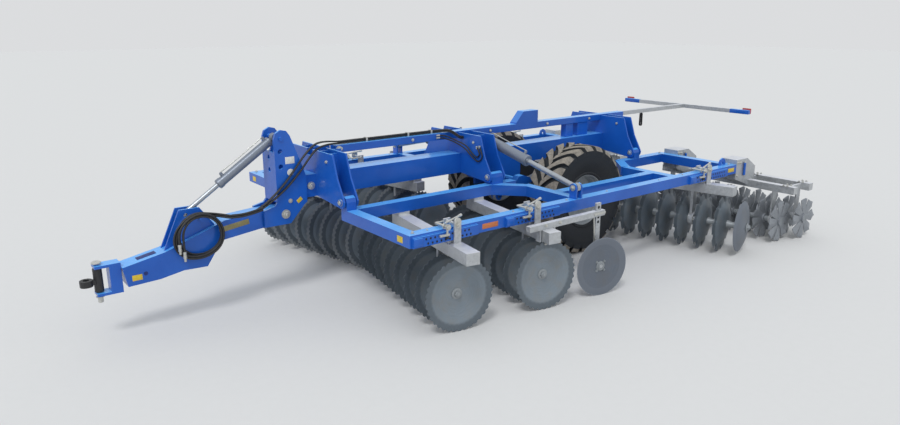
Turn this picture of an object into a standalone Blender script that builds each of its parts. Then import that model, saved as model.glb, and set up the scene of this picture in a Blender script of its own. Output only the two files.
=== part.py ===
"""Towed disc harrow with two folding wings, a lifting axle and star rollers.

Metres, +Z up, +X towards the tractor, +Y to the left of the direction of travel.
Lengths along X are measured from the front face of the wings, heights from the
ground and widths from the centre line. One empty carries the whole machine and
puts the origin on the ground, under the middle of its length.
The left side is modelled, and the right side is its mirror image.
"""
from math import atan2, cos, pi, radians, sin

import bmesh
import bpy
from mathutils import Matrix, Vector

# Fits shared by all pieces
SEAT_GAP = 0.0003          # between two pieces that touch
RUN_GAP = 0.0005           # round a shaft that turns
SIDE_GAP = 0.006           # beside a lug or an eye that swings
CUT_OVER = 0.02            # how far a cutter runs past what it cuts
PLATE = 0.015              # welded plate
THIN_PLATE = 0.010
PIN_R = 0.018
PIN_HEAD_R = 0.028
PIN_HEAD = 0.012
PIN_SIDES = 8
SHAFT_SIDES = 12
FLAT_ANGLE = radians(0.05)
SMOOTH_ANGLE = radians(30)

# Main beam and the bearings under it
BEAM = 0.20
BEAM_TOP = 1.10
BEAM_FRONT = 0.14
BEAM_REAR = -4.10
CHEEK_FRONT = -1.95
CHEEK_REAR = -2.45
CHEEK_BOTTOM = 0.70
CHEEK_WALL = 0.025

# Portals that carry the wings' hinges
HINGE_Y = 0.52
HINGE_Z = 0.92
HINGE_R = 0.055
HINGE_LUG_R = 0.048
PORTAL_TOP = 1.31
PORTAL_TOP_HALF = 0.40
PORTAL_KNEE_HALF = 0.47
PORTAL_KNEE_Z = 1.11
PORTAL_WEB_Y = 0.26
# name, front face of the front plate, rear face of the rear plate
PORTALS = (
    ("front_portal", 0.03, -0.115),
    ("middle_portal", -1.61, -1.795),
    ("rear_portal", -3.80, -3.935),
)
ARC_STEPS = 4

# Rail over the portals, and the light bar behind it
RAIL = 0.10
RAIL_TOP = 1.32
RAIL_DEPTH = 0.07
RAIL_FRONT = -0.20
RAIL_REAR = -4.23
RAIL_BRACKET_FRONT = -2.42
RAIL_BRACKET_LENGTH = 0.33
RAIL_BRACKET_TOP = 1.45
RAIL_BRACKET_WALL = 0.012
RAIL_POST_FRONT = -3.22
RAIL_POST_LENGTH = 0.12
RAIL_WEB_FRONT = -3.42
RAIL_WEB_LENGTH = 0.17
LIGHT_TUBE = 0.05
LIGHT_REAR = -5.57
LIGHT_HALF = 0.956
LAMP_WIDTH = 0.11
LAMP_HEIGHT = 0.07
LAMP_DEPTH = 0.03

# Mast and drawbar
MAST_HALF = 0.125
MAST_WALL = 0.025
MAST_FRONT = 0.42
MAST_TOP = 1.52
MAST_REAR_TOP = 0.27
MAST_WAIST_X = 0.19
MAST_RISE = MAST_TOP - BEAM_TOP
MAST_WAIST_SHARE = 0.345
MAST_FOOT_X = 0.172
MAST_FOOT_Z = 0.846
MAST_KEEL_X = 0.306
MAST_KEEL_Z = 0.70
MAST_TOE_X = 0.546
MAST_TOE_TOP = 0.845
MAST_FACE_LOW = 0.90
MAST_FACE_SHARE = 0.548
MAST_HOLE_R = 0.022
# share of the mast's rise over the beam
MAST_SIDE_HOLE_SHARES = (0.564, 0.255)
MAST_FACE_HOLE_SHARES = (0.429, 0.167)
RAM_TOP_SHARE = 0.8214
PITCH_X = 0.35
PITCH_Z = 0.79
DRAWBAR_HALF = 0.09
DRAWBAR_BACK = 0.27
DRAWBAR_FRONT = 1.70
DRAWBAR_BASE_Z = 0.418
DRAWBAR_RISE = 0.422
# share of the drawbar's length from the back, share of its rise from its base
DRAWBAR_SHARES = (
    (0.00, 0.99), (0.19, 1.00), (0.42, 0.945), (0.77, 0.53), (1.00, 0.38),
    (0.98, 0.00), (0.81, 0.024), (0.68, 0.10), (0.545, 0.085), (0.45, 0.55),
    (0.20, 0.65), (0.03, 0.68),
)
DRAWBAR_LUG_SHARES = ((0.46, 0.80), (0.555, 1.26), (0.67, 1.265), (0.78, 0.45))
DRAWBAR_LUG_Y = 0.037
RAM_TOP_X = 0.36
RAM_TOP_Z = BEAM_TOP + MAST_RISE * RAM_TOP_SHARE
RAM_LOW_X = 1.175
RAM_LOW_Z = 0.902
YOKE_LENGTH = 0.187
YOKE_TOP = 0.617
YOKE_DEPTH = 0.242
YOKE_HALF = 0.055
YOKE_BACK = 0.085
YOKE_PLATE = 0.022
EYE_PIN_X = 1.86
EYE_BUSH_R = 0.034
EYE_Z = 0.484
EYE_R = 0.048
EYE_BORE_R = 0.024
EYE_THICK = 0.05
EYE_REACH = 0.085

# Wing frame, left side
TUBE = 0.10
WING_TOP = 0.85
WING_OUT = 1.49
WING_IN = 0.47
INNER_FRONT_END = -1.95
WHEEL_AHEAD_X = -1.90
WHEEL_BEHIND_X = -3.38
BEND_X = -1.64
BEND_Y = 0.80
BESIDE_Y = WING_OUT - 0.34
INNER_REAR_FRONT = -3.62
REAR_BEAM_X = -4.40
WING_REAR = REAR_BEAM_X - TUBE / 2
ANGLE_PROUD = 0.02
ANGLE_TOP = 0.83
# front and rear ends of the angle plates on the outer beam
ANGLE_PLATES = ((-0.02, -0.66), (-0.96, -1.60), (-3.55, -4.25))
CORNER_LUG_X = -4.30
CORNER_LUG_R = 0.06
FOLD_LUG_GAP = 0.052

# Cylinders
RAM_EYE_WIDTH = 0.06
FOLD_X = -1.87
FOLD_TOP_Y = 0.16
FOLD_TOP_Z = 1.245
FOLD_LOW_Y = WING_OUT - TUBE / 2
FOLD_LOW_Z = 0.95
FOLD_BARREL_R = 0.05
FOLD_BARREL_END = 0.668
FOLD_ROD_R = 0.025
FOLD_ROD_BACK = 0.655
FOLD_EYE_R = 0.042
FOLD_BORE_FLOOR = 0.060
DRAW_BARREL_R = 0.038
DRAW_BARREL_END = 0.62
DRAW_ROD_R = 0.020
DRAW_ROD_BACK = 0.40
DRAW_EYE_R = 0.036
DRAW_BORE_FLOOR = 0.26
LIFT_REAR_X = -3.25
LIFT_REAR_Z = 0.80
LIFT_LEVER_X = -2.20
LIFT_LEVER_Z = 0.54
LIFT_BARREL_R = 0.042
LIFT_BARREL_END = 0.62
LIFT_ROD_R = 0.022
LIFT_ROD_BACK = 0.36
LIFT_EYE_R = 0.040
LIFT_BORE_FLOOR = 0.12
ROD_FIT = 0.0005

# Axle and wheels
AXLE_X = -2.17
AXLE_Z = 0.77
AXLE_R = 0.045
ARM_IN = 0.34
ARM_WALL = 0.08
ARM_PIVOT_R = 0.080
ARM_WHEEL_R = 0.070
LEVER_IN = 0.028
LEVER_HUB_R = 0.075
TYRE_R = 0.575
TYRE_WIDTH = 0.38
TYRE_SIDES = 20
WHEEL_X = -2.73
WHEEL_Y = 0.66
STUB_R = 0.035
RIM_R = 0.27
RIM_WALL = 0.026
RIM_WIDTH = 0.30
RIM_DISC = 0.02
HUB_R = 0.085
HUB_LENGTH = 0.18
# share of the tyre's width from its middle, share of its height over the rim
TYRE_SHARES = (
    (0.36, 0.00), (0.46, 0.12), (0.50, 0.45), (0.47, 0.80), (0.40, 0.96), (0.20, 1.00),
)

# Disc gangs, left side
DISC_R = 0.305
DISC_THICK = 0.007
DISC_DISH = 0.055
DISC_SIDES = 16
SPOOL_R = 0.042
AXLE_END = 0.045
GANG_BEAM_WIDTH = 0.12
GANG_BEAM_DEPTH = 0.10
GANG_BEAM_TOP = 0.72
HANGER_WIDTH = 0.10
HANGER_WALL = 0.03
HOUSING_R = 0.068
HOUSING_LENGTH = 0.055
END_DISC_R = 0.27
GANG_BEAM_PAST = 0.04
# name, X and Y of the outer disc, Y of the inner disc, angle in degrees, discs,
# notches, end disc, beam past the outer disc, spaces that hold a hanger
GANGS = (
    ("1", -0.42, WING_OUT + 0.04, 0.1155, 9.7, 8, 0, False, 0.26, (1, 4)),
    ("2", -1.28, WING_OUT + 0.14, 0.2155, 9.7, 8, 0, False, 0.16, (1, 4)),
    ("3", -3.945, WING_OUT + 0.25, 0.1487, -14.0, 9, 10, True, 0.05, (1, 5)),
)
NOTCH_STEPS = 3
NOTCH_SHARE = 0.85
STRAP_WIDTH = 0.07
STRAP_WALL = 0.015
STRAP_TOP = 0.895
STRAP_BAR_R = 0.014

# Furrow disc on its arm
FURROW_X = -1.93
FURROW_R = 0.27
FURROW_TURN = 12.0
FURROW_TUBE = 0.05
FURROW_TUBE_Y = WING_OUT + 0.165
FURROW_TUBE_FRONT = -1.07
FURROW_TUBE_REAR = -2.00
FURROW_CHEEK_DROP = 0.15
FURROW_STEM_WIDTH = 0.06
FURROW_STEM_WALL = 0.02
FURROW_STEM_TOP = 0.84
FURROW_HUB_R = 0.045
FURROW_STUB_R = 0.018
FURROW_HUB_LENGTH = 0.05

# Tail frame and star rollers
ROLLER_R = 0.235
ROLLER_AXLE_R = 0.030
STAR_WALL = 0.016
STAR_COUNT = 9
STAR_POINTS = 8
# share of a petal's half angle, share of the roller's radius
STAR_SHARES = ((0.0, 1.0), (1.0, 0.55))
ROLLER_HUB = 0.05
TAIL_TUBE = 0.08
TAIL_TUBE_TOP = 0.645
TAIL_IN = 0.34
TAIL_OUT = 2.04
# name, X of the axle, Y of the outermost and of the innermost star
ROLLERS = (("1", -4.75, TAIL_OUT - 0.14, 0.38), ("2", -5.09, TAIL_OUT - 0.045, 0.475))
TAIL_HANGER_WIDTH = 0.08
TAIL_HANGER_WALL = 0.016
TAIL_BEARING_R = 0.055
TAIL_BRACKET_TOP = 0.90
TAIL_BRACKET_LOW = 0.68
TAIL_BRACKET_WIDTH = 0.19
TAIL_BRACKET_REACH = 0.40
# outer face of each bracket
TAIL_BRACKETS_Y = (WING_OUT, 0.72)
# share of the bracket's reach, share of its height
TAIL_BRACKET_SHARES = (
    (0.00, 1.00), (0.55, 1.00), (1.00, 0.50), (1.00, -0.45), (0.70, -0.45), (0.00, 0.00),
)
TAIL_LINKS_Y = (0.42, WING_OUT - 0.09, TAIL_OUT - 0.10)
TAIL_LINK_WALL = 0.03

# Hoses and the lamp cable
HOSE_R = 0.016
HOOK_R = 0.008
HOOK_REACH = 0.17
COIL_X = 1.10
COIL_Y = 0.135
COIL_Z = 0.745
COIL_R = 0.165
COIL_WALL = 0.0185
COIL_HALF = 0.030
COUPLER_Y = 0.1556
# X and top of each coupler under the coil
COUPLERS = ((1.250, 0.6406), (1.283, 0.7059))
# radius and depth below its top of a coupler's section
COUPLER_SECTION = (
    (0, 0), (0.009, 0), (0.0145, 0.012), (0.0145, 0.055), (0.010, 0.060), (0.010, 0.080), (0, 0.080),
)
COIL_SIDES = 16
# the run from beside the mast, over the rail, to the left fold cylinder
RUN_ROUTE = (
    (0.62, 0.1415, 0.86), (0.50, 0.1415, 0.925), (0.36, 0.1415, 1.03), (0.24, 0.1415, 1.15),
    (0.13, 0.1415, 1.275), (0.03, 0.122, 1.345), (-0.10, 0.072, 1.354), (-0.25, 0.025, 1.341),
    (-0.42, 0.0, 1.3370), (-0.80, 0.0, 1.3363), (-1.15, 0.0, 1.3363), (-1.38, 0.012, 1.3363),
    (-1.48, 0.072, 1.338), (-1.54, 0.122, 1.295), (-1.575, 0.135, 1.270), (-1.6082, 0.135, 1.270),
)
# the lead from the coil on the drawbar back to the side of the mast
LEAD_ROUTE = (
    (0.9595, 0.142, 0.8775), (0.87, 0.155, 0.857), (0.77, 0.169, 0.855), (0.68, 0.179, 0.866),
    (0.58, 0.184, 0.885),
)
CABLE_X = -4.65
CABLE_LENGTH = 0.17
CABLE_WIDTH = 0.045
CABLE_WALL = 0.030

ORIGIN_X = (EYE_PIN_X + EYE_REACH + EYE_R + LIGHT_REAR - LAMP_DEPTH - SEAT_GAP) / 2

# colour, roughness and metallic value of each material
BLUE = ("blue_paint", (0.020, 0.125, 0.55), 0.35, 0.0)
GALVANISED = ("galvanised", (0.52, 0.54, 0.56), 0.45, 0.8)
STEEL = ("disc_steel", (0.16, 0.18, 0.20), 0.45, 0.7)
CHROME = ("rod_chrome", (0.75, 0.76, 0.78), 0.15, 1.0)
SILVER = ("cylinder_silver", (0.62, 0.64, 0.66), 0.35, 0.6)
RUBBER = ("tyre_rubber", (0.030, 0.028, 0.026), 0.85, 0.0)
HOSE = ("hose_rubber", (0.015, 0.015, 0.017), 0.55, 0.0)
BLACK = ("black_iron", (0.02, 0.02, 0.022), 0.5, 0.3)
LAMP_RED = ("lamp_red", (0.45, 0.02, 0.015), 0.25, 0.0)

NO_PIVOT = Vector((0, 0, 0))


def clear_scene():
    """Start from an empty scene."""
    for old in list(bpy.data.objects):
        bpy.data.objects.remove(old, do_unlink=True)


def make_collection(name):
    """A new collection under the scene's own."""
    made = bpy.data.collections.new(name)
    bpy.context.scene.collection.children.link(made)
    return made


clear_scene()
HARROW = make_collection("disc_harrow")
ROOT = bpy.data.objects.new("harrow_frame", None)
HARROW.objects.link(ROOT)
ROOT.location = (-ORIGIN_X, 0, 0)


def material(look):
    """A Principled material, made once for each look."""
    name, colour, roughness, metallic = look
    made = bpy.data.materials.get(name)
    if made:
        return made
    made = bpy.data.materials.new(name)
    made.use_nodes = True
    shader = made.node_tree.nodes["Principled BSDF"]
    shader.inputs["Base Color"].default_value = (*colour, 1)
    shader.inputs["Roughness"].default_value = roughness
    shader.inputs["Metallic"].default_value = metallic
    return made


def scratch_object(data):
    """An object in the scene that a later step turns into a mesh or joins."""
    made = bpy.data.objects.new("scratch", data)
    bpy.context.scene.collection.objects.link(made)
    return made


def clean(shape):
    """Weld a bmesh's seams, join its flat faces and turn them outwards."""
    bmesh.ops.remove_doubles(shape, verts=shape.verts, dist=SEAT_GAP / 10)
    bmesh.ops.dissolve_degenerate(shape, edges=shape.edges, dist=SEAT_GAP / 100)
    bmesh.ops.dissolve_limit(
        shape, angle_limit=FLAT_ANGLE, verts=shape.verts, edges=shape.edges)
    bmesh.ops.recalc_face_normals(shape, faces=shape.faces)


def baked(made):
    """Replace an object by the mesh that its curve or modifiers give."""
    graph = bpy.context.evaluated_depsgraph_get()
    mesh = bpy.data.meshes.new_from_object(made.evaluated_get(graph))
    mesh.transform(made.matrix_world)
    shape = bmesh.new()
    shape.from_mesh(mesh)
    clean(shape)
    shape.to_mesh(mesh)
    shape.free()
    bpy.data.objects.remove(made, do_unlink=True)
    return scratch_object(mesh)


def from_bmesh(shape):
    """An object from a bmesh."""
    mesh = bpy.data.meshes.new("scratch")
    shape.to_mesh(mesh)
    shape.free()
    return scratch_object(mesh)


def block(low, high):
    """A box between two corners."""
    low, high = Vector(low), Vector(high)
    size = high - low
    place = Matrix.Translation((low + high) / 2) @ Matrix.Diagonal((*size, 1))
    shape = bmesh.new()
    bmesh.ops.create_cube(shape, size=1, matrix=place)
    return from_bmesh(shape)


def frame_along(start, end):
    """A place whose local Z runs from start to end, with local X as near up as can be."""
    start, end = Vector(start), Vector(end)
    along = (end - start).normalized()
    side = along.cross(Vector((0, 0, 1)))
    if side.length < SEAT_GAP:
        side = Vector((0, 1, 0))
    side.normalize()
    up = side.cross(along)
    turn = Matrix((up, along.cross(up), along)).transposed()
    return Matrix.Translation(start) @ turn.to_4x4()


def bar(start, end, width, depth):
    """A rectangular bar from start to end, depth measured upwards."""
    start, end = Vector(start), Vector(end)
    length = (end - start).length
    place = frame_along(start, end) @ Matrix.Translation((0, 0, length / 2))
    shape = bmesh.new()
    size = Matrix.Diagonal((depth, width, length, 1))
    bmesh.ops.create_cube(shape, size=1, matrix=place @ size)
    return from_bmesh(shape)


def rod(start, end, radius, sides=PIN_SIDES):
    """A round rod from start to end."""
    start, end = Vector(start), Vector(end)
    length = (end - start).length
    place = frame_along(start, end) @ Matrix.Translation((0, 0, length / 2))
    shape = bmesh.new()
    bmesh.ops.create_cone(
        shape, cap_ends=True, segments=sides, radius1=radius, radius2=radius,
        depth=length, matrix=place)
    return from_bmesh(shape)


def bore_radius(shaft, sides):
    """Radius of a faceted hole whose flats clear a shaft."""
    return (shaft + RUN_GAP) / cos(pi / sides)


def bore(start, end, shaft, sides=SHAFT_SIDES):
    """A cutter for a shaft's hole, its flats over the shaft's corners."""
    start, end = Vector(start), Vector(end)
    past = (end - start).normalized() * CUT_OVER
    cutter = rod(start - past, end + past, bore_radius(shaft, sides), sides)
    axis = frame_along(start, end)
    turn = axis @ Matrix.Rotation(pi / sides, 4, "Z") @ axis.inverted()
    return moved(cutter, turn)


def ring_points(centre, radius, sides):
    """A circle as a closed outline."""
    steps = [2 * pi * k / sides for k in range(sides)]
    return [(centre[0] + radius * cos(a), centre[1] + radius * sin(a)) for a in steps]


def arc_points(centre, radius, first, last, steps=ARC_STEPS):
    """Points of an arc between two angles in degrees."""
    angles = [radians(first + (last - first) * k / steps) for k in range(steps + 1)]
    return [(centre[0] + radius * cos(a), centre[1] + radius * sin(a)) for a in angles]


FACING = {
    "x": Matrix(((0, 0, 1), (1, 0, 0), (0, 1, 0))),
    "y": Matrix(((1, 0, 0), (0, 0, -1), (0, 1, 0))),
    "z": Matrix.Identity(3),
}


def plate(facing, low, high, *outlines):
    """A flat plate: outlines in the plane that faces X, Y or Z, between two levels."""
    curve = bpy.data.curves.new("outline", "CURVE")
    curve.dimensions = "2D"
    curve.fill_mode = "BOTH"
    curve.extrude = abs(high - low) / 2
    for outline in outlines:
        spline = curve.splines.new("POLY")
        spline.points.add(len(outline) - 1)
        for point, (across, up) in zip(spline.points, outline):
            point.co = (across, up, 0, 1)
        spline.use_cyclic_u = True
    made = scratch_object(curve)
    middle = (low + high) / 2
    shift = {"x": (middle, 0, 0), "y": (0, middle, 0), "z": (0, 0, middle)}[facing]
    made.matrix_world = Matrix.Translation(shift) @ FACING[facing].to_4x4()
    return baked(made)


def turned(profile, sides, closed=False):
    """A turned solid round local Z from (radius, height) points."""
    mesh = bpy.data.meshes.new("profile")
    points = [(radius, 0, height) for radius, height in profile]
    edges = [(k, k + 1) for k in range(len(points) - 1)]
    if closed:
        edges.append((len(points) - 1, 0))
    mesh.from_pydata(points, edges, [])
    made = scratch_object(mesh)
    screw = made.modifiers.new("turn", "SCREW")
    screw.steps = sides
    screw.render_steps = sides
    screw.use_merge_vertices = True
    screw.merge_threshold = SEAT_GAP / 10
    return baked(made)


def tube_along(points, radius, steps=2):
    """A round tube along a smooth curve through the given points."""
    curve = bpy.data.curves.new("route", "CURVE")
    curve.dimensions = "3D"
    curve.bevel_depth = radius
    curve.bevel_resolution = 2
    curve.use_fill_caps = True
    fine = smooth_route(points, steps)
    spline = curve.splines.new("POLY")
    spline.points.add(len(fine) - 1)
    for point, place in zip(spline.points, fine):
        point.co = (*place, 1)
    return baked(scratch_object(curve))


def smooth_route(points, steps):
    """Points read from a smooth curve through a route's own points."""
    ends = [2 * Vector(points[0]) - Vector(points[1])]
    ends += [Vector(p) for p in points]
    ends.append(2 * Vector(points[-1]) - Vector(points[-2]))
    fine = []
    for k in range(1, len(ends) - 2):
        a, b, c, d = ends[k - 1:k + 3]
        for step in range(steps):
            t = step / steps
            bend = 2 * a - 5 * b + 4 * c - d
            turn = 3 * b - a - 3 * c + d
            fine.append((2 * b + (c - a) * t + bend * t ** 2 + turn * t ** 3) / 2)
    fine.append(ends[-2])
    return fine


def combined(operation, base, others):
    """One solid from a base and others, by exact Booleans."""
    for other in others:
        step = base.modifiers.new("join", "BOOLEAN")
        step.operation = operation
        step.solver = "EXACT"
        step.object = other
    made = baked(base)
    for other in others:
        bpy.data.objects.remove(other, do_unlink=True)
    return made


def united(parts):
    """The union of several solids."""
    return combined("UNION", parts[0], parts[1:])


def cut(base, cutters):
    """A solid less its cutters."""
    return combined("DIFFERENCE", base, cutters)


def moved(made, place):
    """Move a solid's mesh by a matrix."""
    made.data.transform(place)
    return made


def node(name, solid, look, pivot=NO_PIVOT):
    """Name a finished solid, colour it and put its origin on its joint's axis."""
    pivot = Vector(pivot)
    solid.data.transform(Matrix.Translation(-pivot))
    solid.name = name
    solid.data.name = name
    solid.data.materials.clear()
    solid.data.materials.append(material(look))
    solid.data.shade_smooth()
    solid.data.set_sharp_from_angle(angle=SMOOTH_ANGLE)
    bpy.context.scene.collection.objects.unlink(solid)
    HARROW.objects.link(solid)
    solid.parent = ROOT
    solid.location = pivot
    return solid


def mirrored(left):
    """The right side's twin of a left piece."""
    mesh = left.data.copy()
    mesh.transform(Matrix.Diagonal((1, -1, 1, 1)))
    mesh.flip_normals()
    name = left.name.replace("left", "right")
    right = bpy.data.objects.new(name, mesh)
    mesh.name = name
    HARROW.objects.link(right)
    right.parent = ROOT
    right.location = left.location * Vector((1, -1, 1))
    return right


def both_sides(name, solid, look, pivot=NO_PIVOT):
    """A left piece and its mirror image."""
    mirrored(node(name + "_left", solid, look, pivot))


def main_beam():
    """The square main beam with the axle's cheeks and the lift cylinder's lugs."""
    half = BEAM / 2
    bottom = BEAM_TOP - BEAM
    overlap = bottom + THIN_PLATE
    parts = [block((BEAM_REAR, -half, bottom), (BEAM_FRONT, half, BEAM_TOP))]
    for side in (-1, 1):
        faces = sorted((side * half, side * (half - CHEEK_WALL)))
        parts.append(block((CHEEK_REAR, faces[0], CHEEK_BOTTOM), (CHEEK_FRONT, faces[1], overlap)))
        inner = RAM_EYE_WIDTH / 2 + SIDE_GAP
        faces = sorted((side * inner, side * (inner + PLATE)))
        outline = arc_points((LIFT_REAR_X, LIFT_REAR_Z), LIFT_EYE_R, 180, 360)
        outline += [(LIFT_REAR_X + 2 * LIFT_EYE_R, overlap), (LIFT_REAR_X - 2 * LIFT_EYE_R, overlap)]
        parts.append(plate("y", faces[0], faces[1], outline))
    reach = RAM_EYE_WIDTH / 2 + SIDE_GAP + PLATE + PIN_HEAD
    parts.append(rod((LIFT_REAR_X, -reach, LIFT_REAR_Z), (LIFT_REAR_X, reach, LIFT_REAR_Z), PIN_R))
    hole = bore((AXLE_X, -half, AXLE_Z), (AXLE_X, half, AXLE_Z), AXLE_R)
    node("main_beam", cut(united(parts), [hole]), BLUE)


def portal_outline():
    """Half of a portal's outline from the rail's notch round the foot to the beam's notch."""
    beam = BEAM / 2 + SEAT_GAP
    rail = RAIL / 2 + SEAT_GAP
    floor = RAIL_TOP - RAIL_DEPTH - SEAT_GAP
    half = [(rail, floor), (rail, PORTAL_TOP), (PORTAL_TOP_HALF, PORTAL_TOP)]
    half.append((PORTAL_KNEE_HALF, PORTAL_KNEE_Z))
    half += arc_points((HINGE_Y, HINGE_Z), HINGE_R, 40, -90)
    half += [(beam, BEAM_TOP - BEAM), (beam, BEAM_TOP + SEAT_GAP)]
    return half


def portal(front, rear):
    """Two plates over the beam, their webs and the wings' hinge pins."""
    half = portal_outline()
    outline = half + [(-y, z) for y, z in reversed(half)]
    parts = [plate("x", front - PLATE, front, outline), plate("x", rear, rear + PLATE, outline)]
    for side in (-1, 1):
        faces = sorted((side * PORTAL_WEB_Y, side * (PORTAL_WEB_Y + THIN_PLATE)))
        low = (rear + THIN_PLATE, faces[0], HINGE_Z)
        parts.append(block(low, (front - THIN_PLATE, faces[1], PORTAL_TOP - PLATE)))
        y = side * HINGE_Y
        parts.append(rod((rear - PIN_HEAD, y, HINGE_Z), (front + PIN_HEAD, y, HINGE_Z), PIN_R))
        head = front + PIN_HEAD
        parts.append(rod((front - THIN_PLATE, y, HINGE_Z), (head, y, HINGE_Z), PIN_HEAD_R))
    return parts


def front_portal_cheeks():
    """Two plates along the beam's top between the front portal's plates."""
    _, front, rear = PORTALS[0]
    parts = []
    for side in (-1, 1):
        faces = sorted((side * BEAM / 2, side * (BEAM / 2 + THIN_PLATE)))
        low = (rear - 2 * HINGE_R, faces[0], BEAM_TOP + SEAT_GAP)
        parts.append(block(low, (front - THIN_PLATE, faces[1], PORTAL_TOP - THIN_PLATE)))
    return parts


def fold_pins():
    """The pins behind the middle portal that carry the fold cylinders."""
    rear = PORTALS[1][2]
    eye_front = FOLD_X + RAM_EYE_WIDTH / 2 + RUN_GAP
    eye_rear = FOLD_X - RAM_EYE_WIDTH / 2 - RUN_GAP
    parts = []
    for side in (-1, 1):
        y = side * FOLD_TOP_Y
        inside = rear + THIN_PLATE
        parts.append(rod((inside, y, FOLD_TOP_Z), (eye_front, y, FOLD_TOP_Z), PIN_HEAD_R))
        parts.append(rod((inside, y, FOLD_TOP_Z), (eye_rear - PIN_HEAD, y, FOLD_TOP_Z), PIN_R))
        parts.append(rod((eye_rear, y, FOLD_TOP_Z), (eye_rear - PIN_HEAD, y, FOLD_TOP_Z), PIN_HEAD_R))
    return parts


def portals():
    """The three portals."""
    extras = {"front_portal": front_portal_cheeks, "middle_portal": fold_pins}
    for name, front, rear in PORTALS:
        parts = portal(front, rear)
        if name in extras:
            parts += extras[name]()
        node(name, united(parts), BLUE)


def top_rail():
    """The flat rail over the portals with its bracket and posts."""
    half = RAIL / 2
    bottom = RAIL_TOP - RAIL_DEPTH
    parts = [block((RAIL_REAR, -half, bottom), (RAIL_FRONT, half, RAIL_TOP))]
    rear = RAIL_BRACKET_FRONT - RAIL_BRACKET_LENGTH
    outline = [(rear, RAIL_TOP - THIN_PLATE), (rear, RAIL_BRACKET_TOP)]
    outline.append((RAIL_BRACKET_FRONT - RAIL_BRACKET_LENGTH / 3, RAIL_BRACKET_TOP))
    outline.append((RAIL_BRACKET_FRONT, RAIL_TOP + THIN_PLATE))
    outline.append((RAIL_BRACKET_FRONT, RAIL_TOP - THIN_PLATE))
    inside = [(x, z - RAIL_BRACKET_WALL) for x, z in outline]
    width = half - RAIL_BRACKET_WALL
    parts.append(cut(plate("y", -half, half, outline), [plate("y", -width, width, inside)]))
    stand = BEAM_TOP + SEAT_GAP
    for front, length in ((RAIL_POST_FRONT, RAIL_POST_LENGTH), (RAIL_WEB_FRONT, RAIL_WEB_LENGTH)):
        width = half - THIN_PLATE
        parts.append(block((front - length, -width, stand), (front, width, bottom + THIN_PLATE)))
    node("top_rail", united(parts), BLUE)


def light_bar():
    """The grey tube behind the rail, its cross tube and the two lamps."""
    half = LIGHT_TUBE / 2
    bottom = RAIL_TOP - LIGHT_TUBE
    parts = [block((LIGHT_REAR, -half, bottom), (RAIL_REAR - SEAT_GAP, half, RAIL_TOP))]
    low = (LIGHT_REAR, -LIGHT_HALF, bottom)
    parts.append(block(low, (LIGHT_REAR + LIGHT_TUBE, LIGHT_HALF, RAIL_TOP)))
    node("light_bar", united(parts), GALVANISED)
    face = LIGHT_REAR - SEAT_GAP
    low = (face - LAMP_DEPTH, LIGHT_HALF - LAMP_WIDTH, bottom)
    both_sides("lamp", block(low, (face, LIGHT_HALF, bottom + LAMP_HEIGHT)), LAMP_RED)


def mast_height(share):
    """A height at a share of the mast's rise over the beam."""
    return BEAM_TOP + MAST_RISE * share


def mast_outline():
    """The side plate of the mast, in X and Z."""
    corner = (MAST_FRONT + MAST_REAR_TOP) / 2
    radius = (MAST_FRONT - MAST_REAR_TOP) / 2
    outline = arc_points((corner, MAST_TOP - radius), radius, 0, 165)
    outline += [(MAST_WAIST_X, mast_height(MAST_WAIST_SHARE)), (BEAM_FRONT + SEAT_GAP, BEAM_TOP)]
    outline += [(BEAM_FRONT + SEAT_GAP, MAST_FOOT_Z + MAST_WALL), (MAST_FOOT_X, MAST_FOOT_Z)]
    outline += [(MAST_KEEL_X, MAST_KEEL_Z), (MAST_TOE_X, MAST_KEEL_Z), (MAST_TOE_X, MAST_TOE_TOP)]
    outline += [(MAST_FRONT + MAST_WALL, MAST_TOE_TOP + MAST_WALL), (MAST_FRONT, MAST_FACE_LOW)]
    return outline


def mast():
    """The mast: two side plates, a face plate, a back plate and two pins."""
    inner = MAST_HALF - MAST_WALL
    holes = [ring_points((MAST_FRONT - 2 * MAST_WALL, mast_height(share)), MAST_HOLE_R, PIN_SIDES)
             for share in MAST_SIDE_HOLE_SHARES]
    parts = []
    for side in (-1, 1):
        faces = sorted((side * inner, side * MAST_HALF))
        parts.append(plate("y", faces[0], faces[1], mast_outline(), *holes))
    wide = inner + THIN_PLATE
    high = mast_height(MAST_FACE_SHARE)
    face = [(-wide, MAST_FACE_LOW), (wide, MAST_FACE_LOW), (wide, high), (-wide, high)]
    face_holes = [ring_points((0, mast_height(share)), MAST_HOLE_R, PIN_SIDES)
                  for share in MAST_FACE_HOLE_SHARES]
    parts.append(plate("x", MAST_FRONT - PLATE, MAST_FRONT - SEAT_GAP, face, *face_holes))
    back = BEAM_FRONT + SEAT_GAP
    low = MAST_FOOT_Z + MAST_WALL + THIN_PLATE
    parts.append(block((back + SEAT_GAP, -wide, low), (back + PLATE, wide, BEAM_TOP - THIN_PLATE)))
    reach = MAST_HALF + PIN_HEAD
    parts.append(rod((PITCH_X, -reach, PITCH_Z), (PITCH_X, reach, PITCH_Z), PIN_R, SHAFT_SIDES))
    for side in (-1, 1):
        ends = [(PITCH_X, side * (MAST_HALF - PIN_HEAD), PITCH_Z), (PITCH_X, side * reach, PITCH_Z)]
        parts.append(rod(ends[0], ends[1], PIN_HEAD_R))
    parts.append(rod((RAM_TOP_X, -reach, RAM_TOP_Z), (RAM_TOP_X, reach, RAM_TOP_Z), PIN_R, SHAFT_SIDES))
    node("mast", united(parts), BLUE)


def drawbar_point(along_share, rise_share):
    """A point of the drawbar's side view."""
    x = DRAWBAR_BACK + (DRAWBAR_FRONT - DRAWBAR_BACK) * along_share
    return (x, DRAWBAR_BASE_Z + DRAWBAR_RISE * rise_share)


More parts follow.
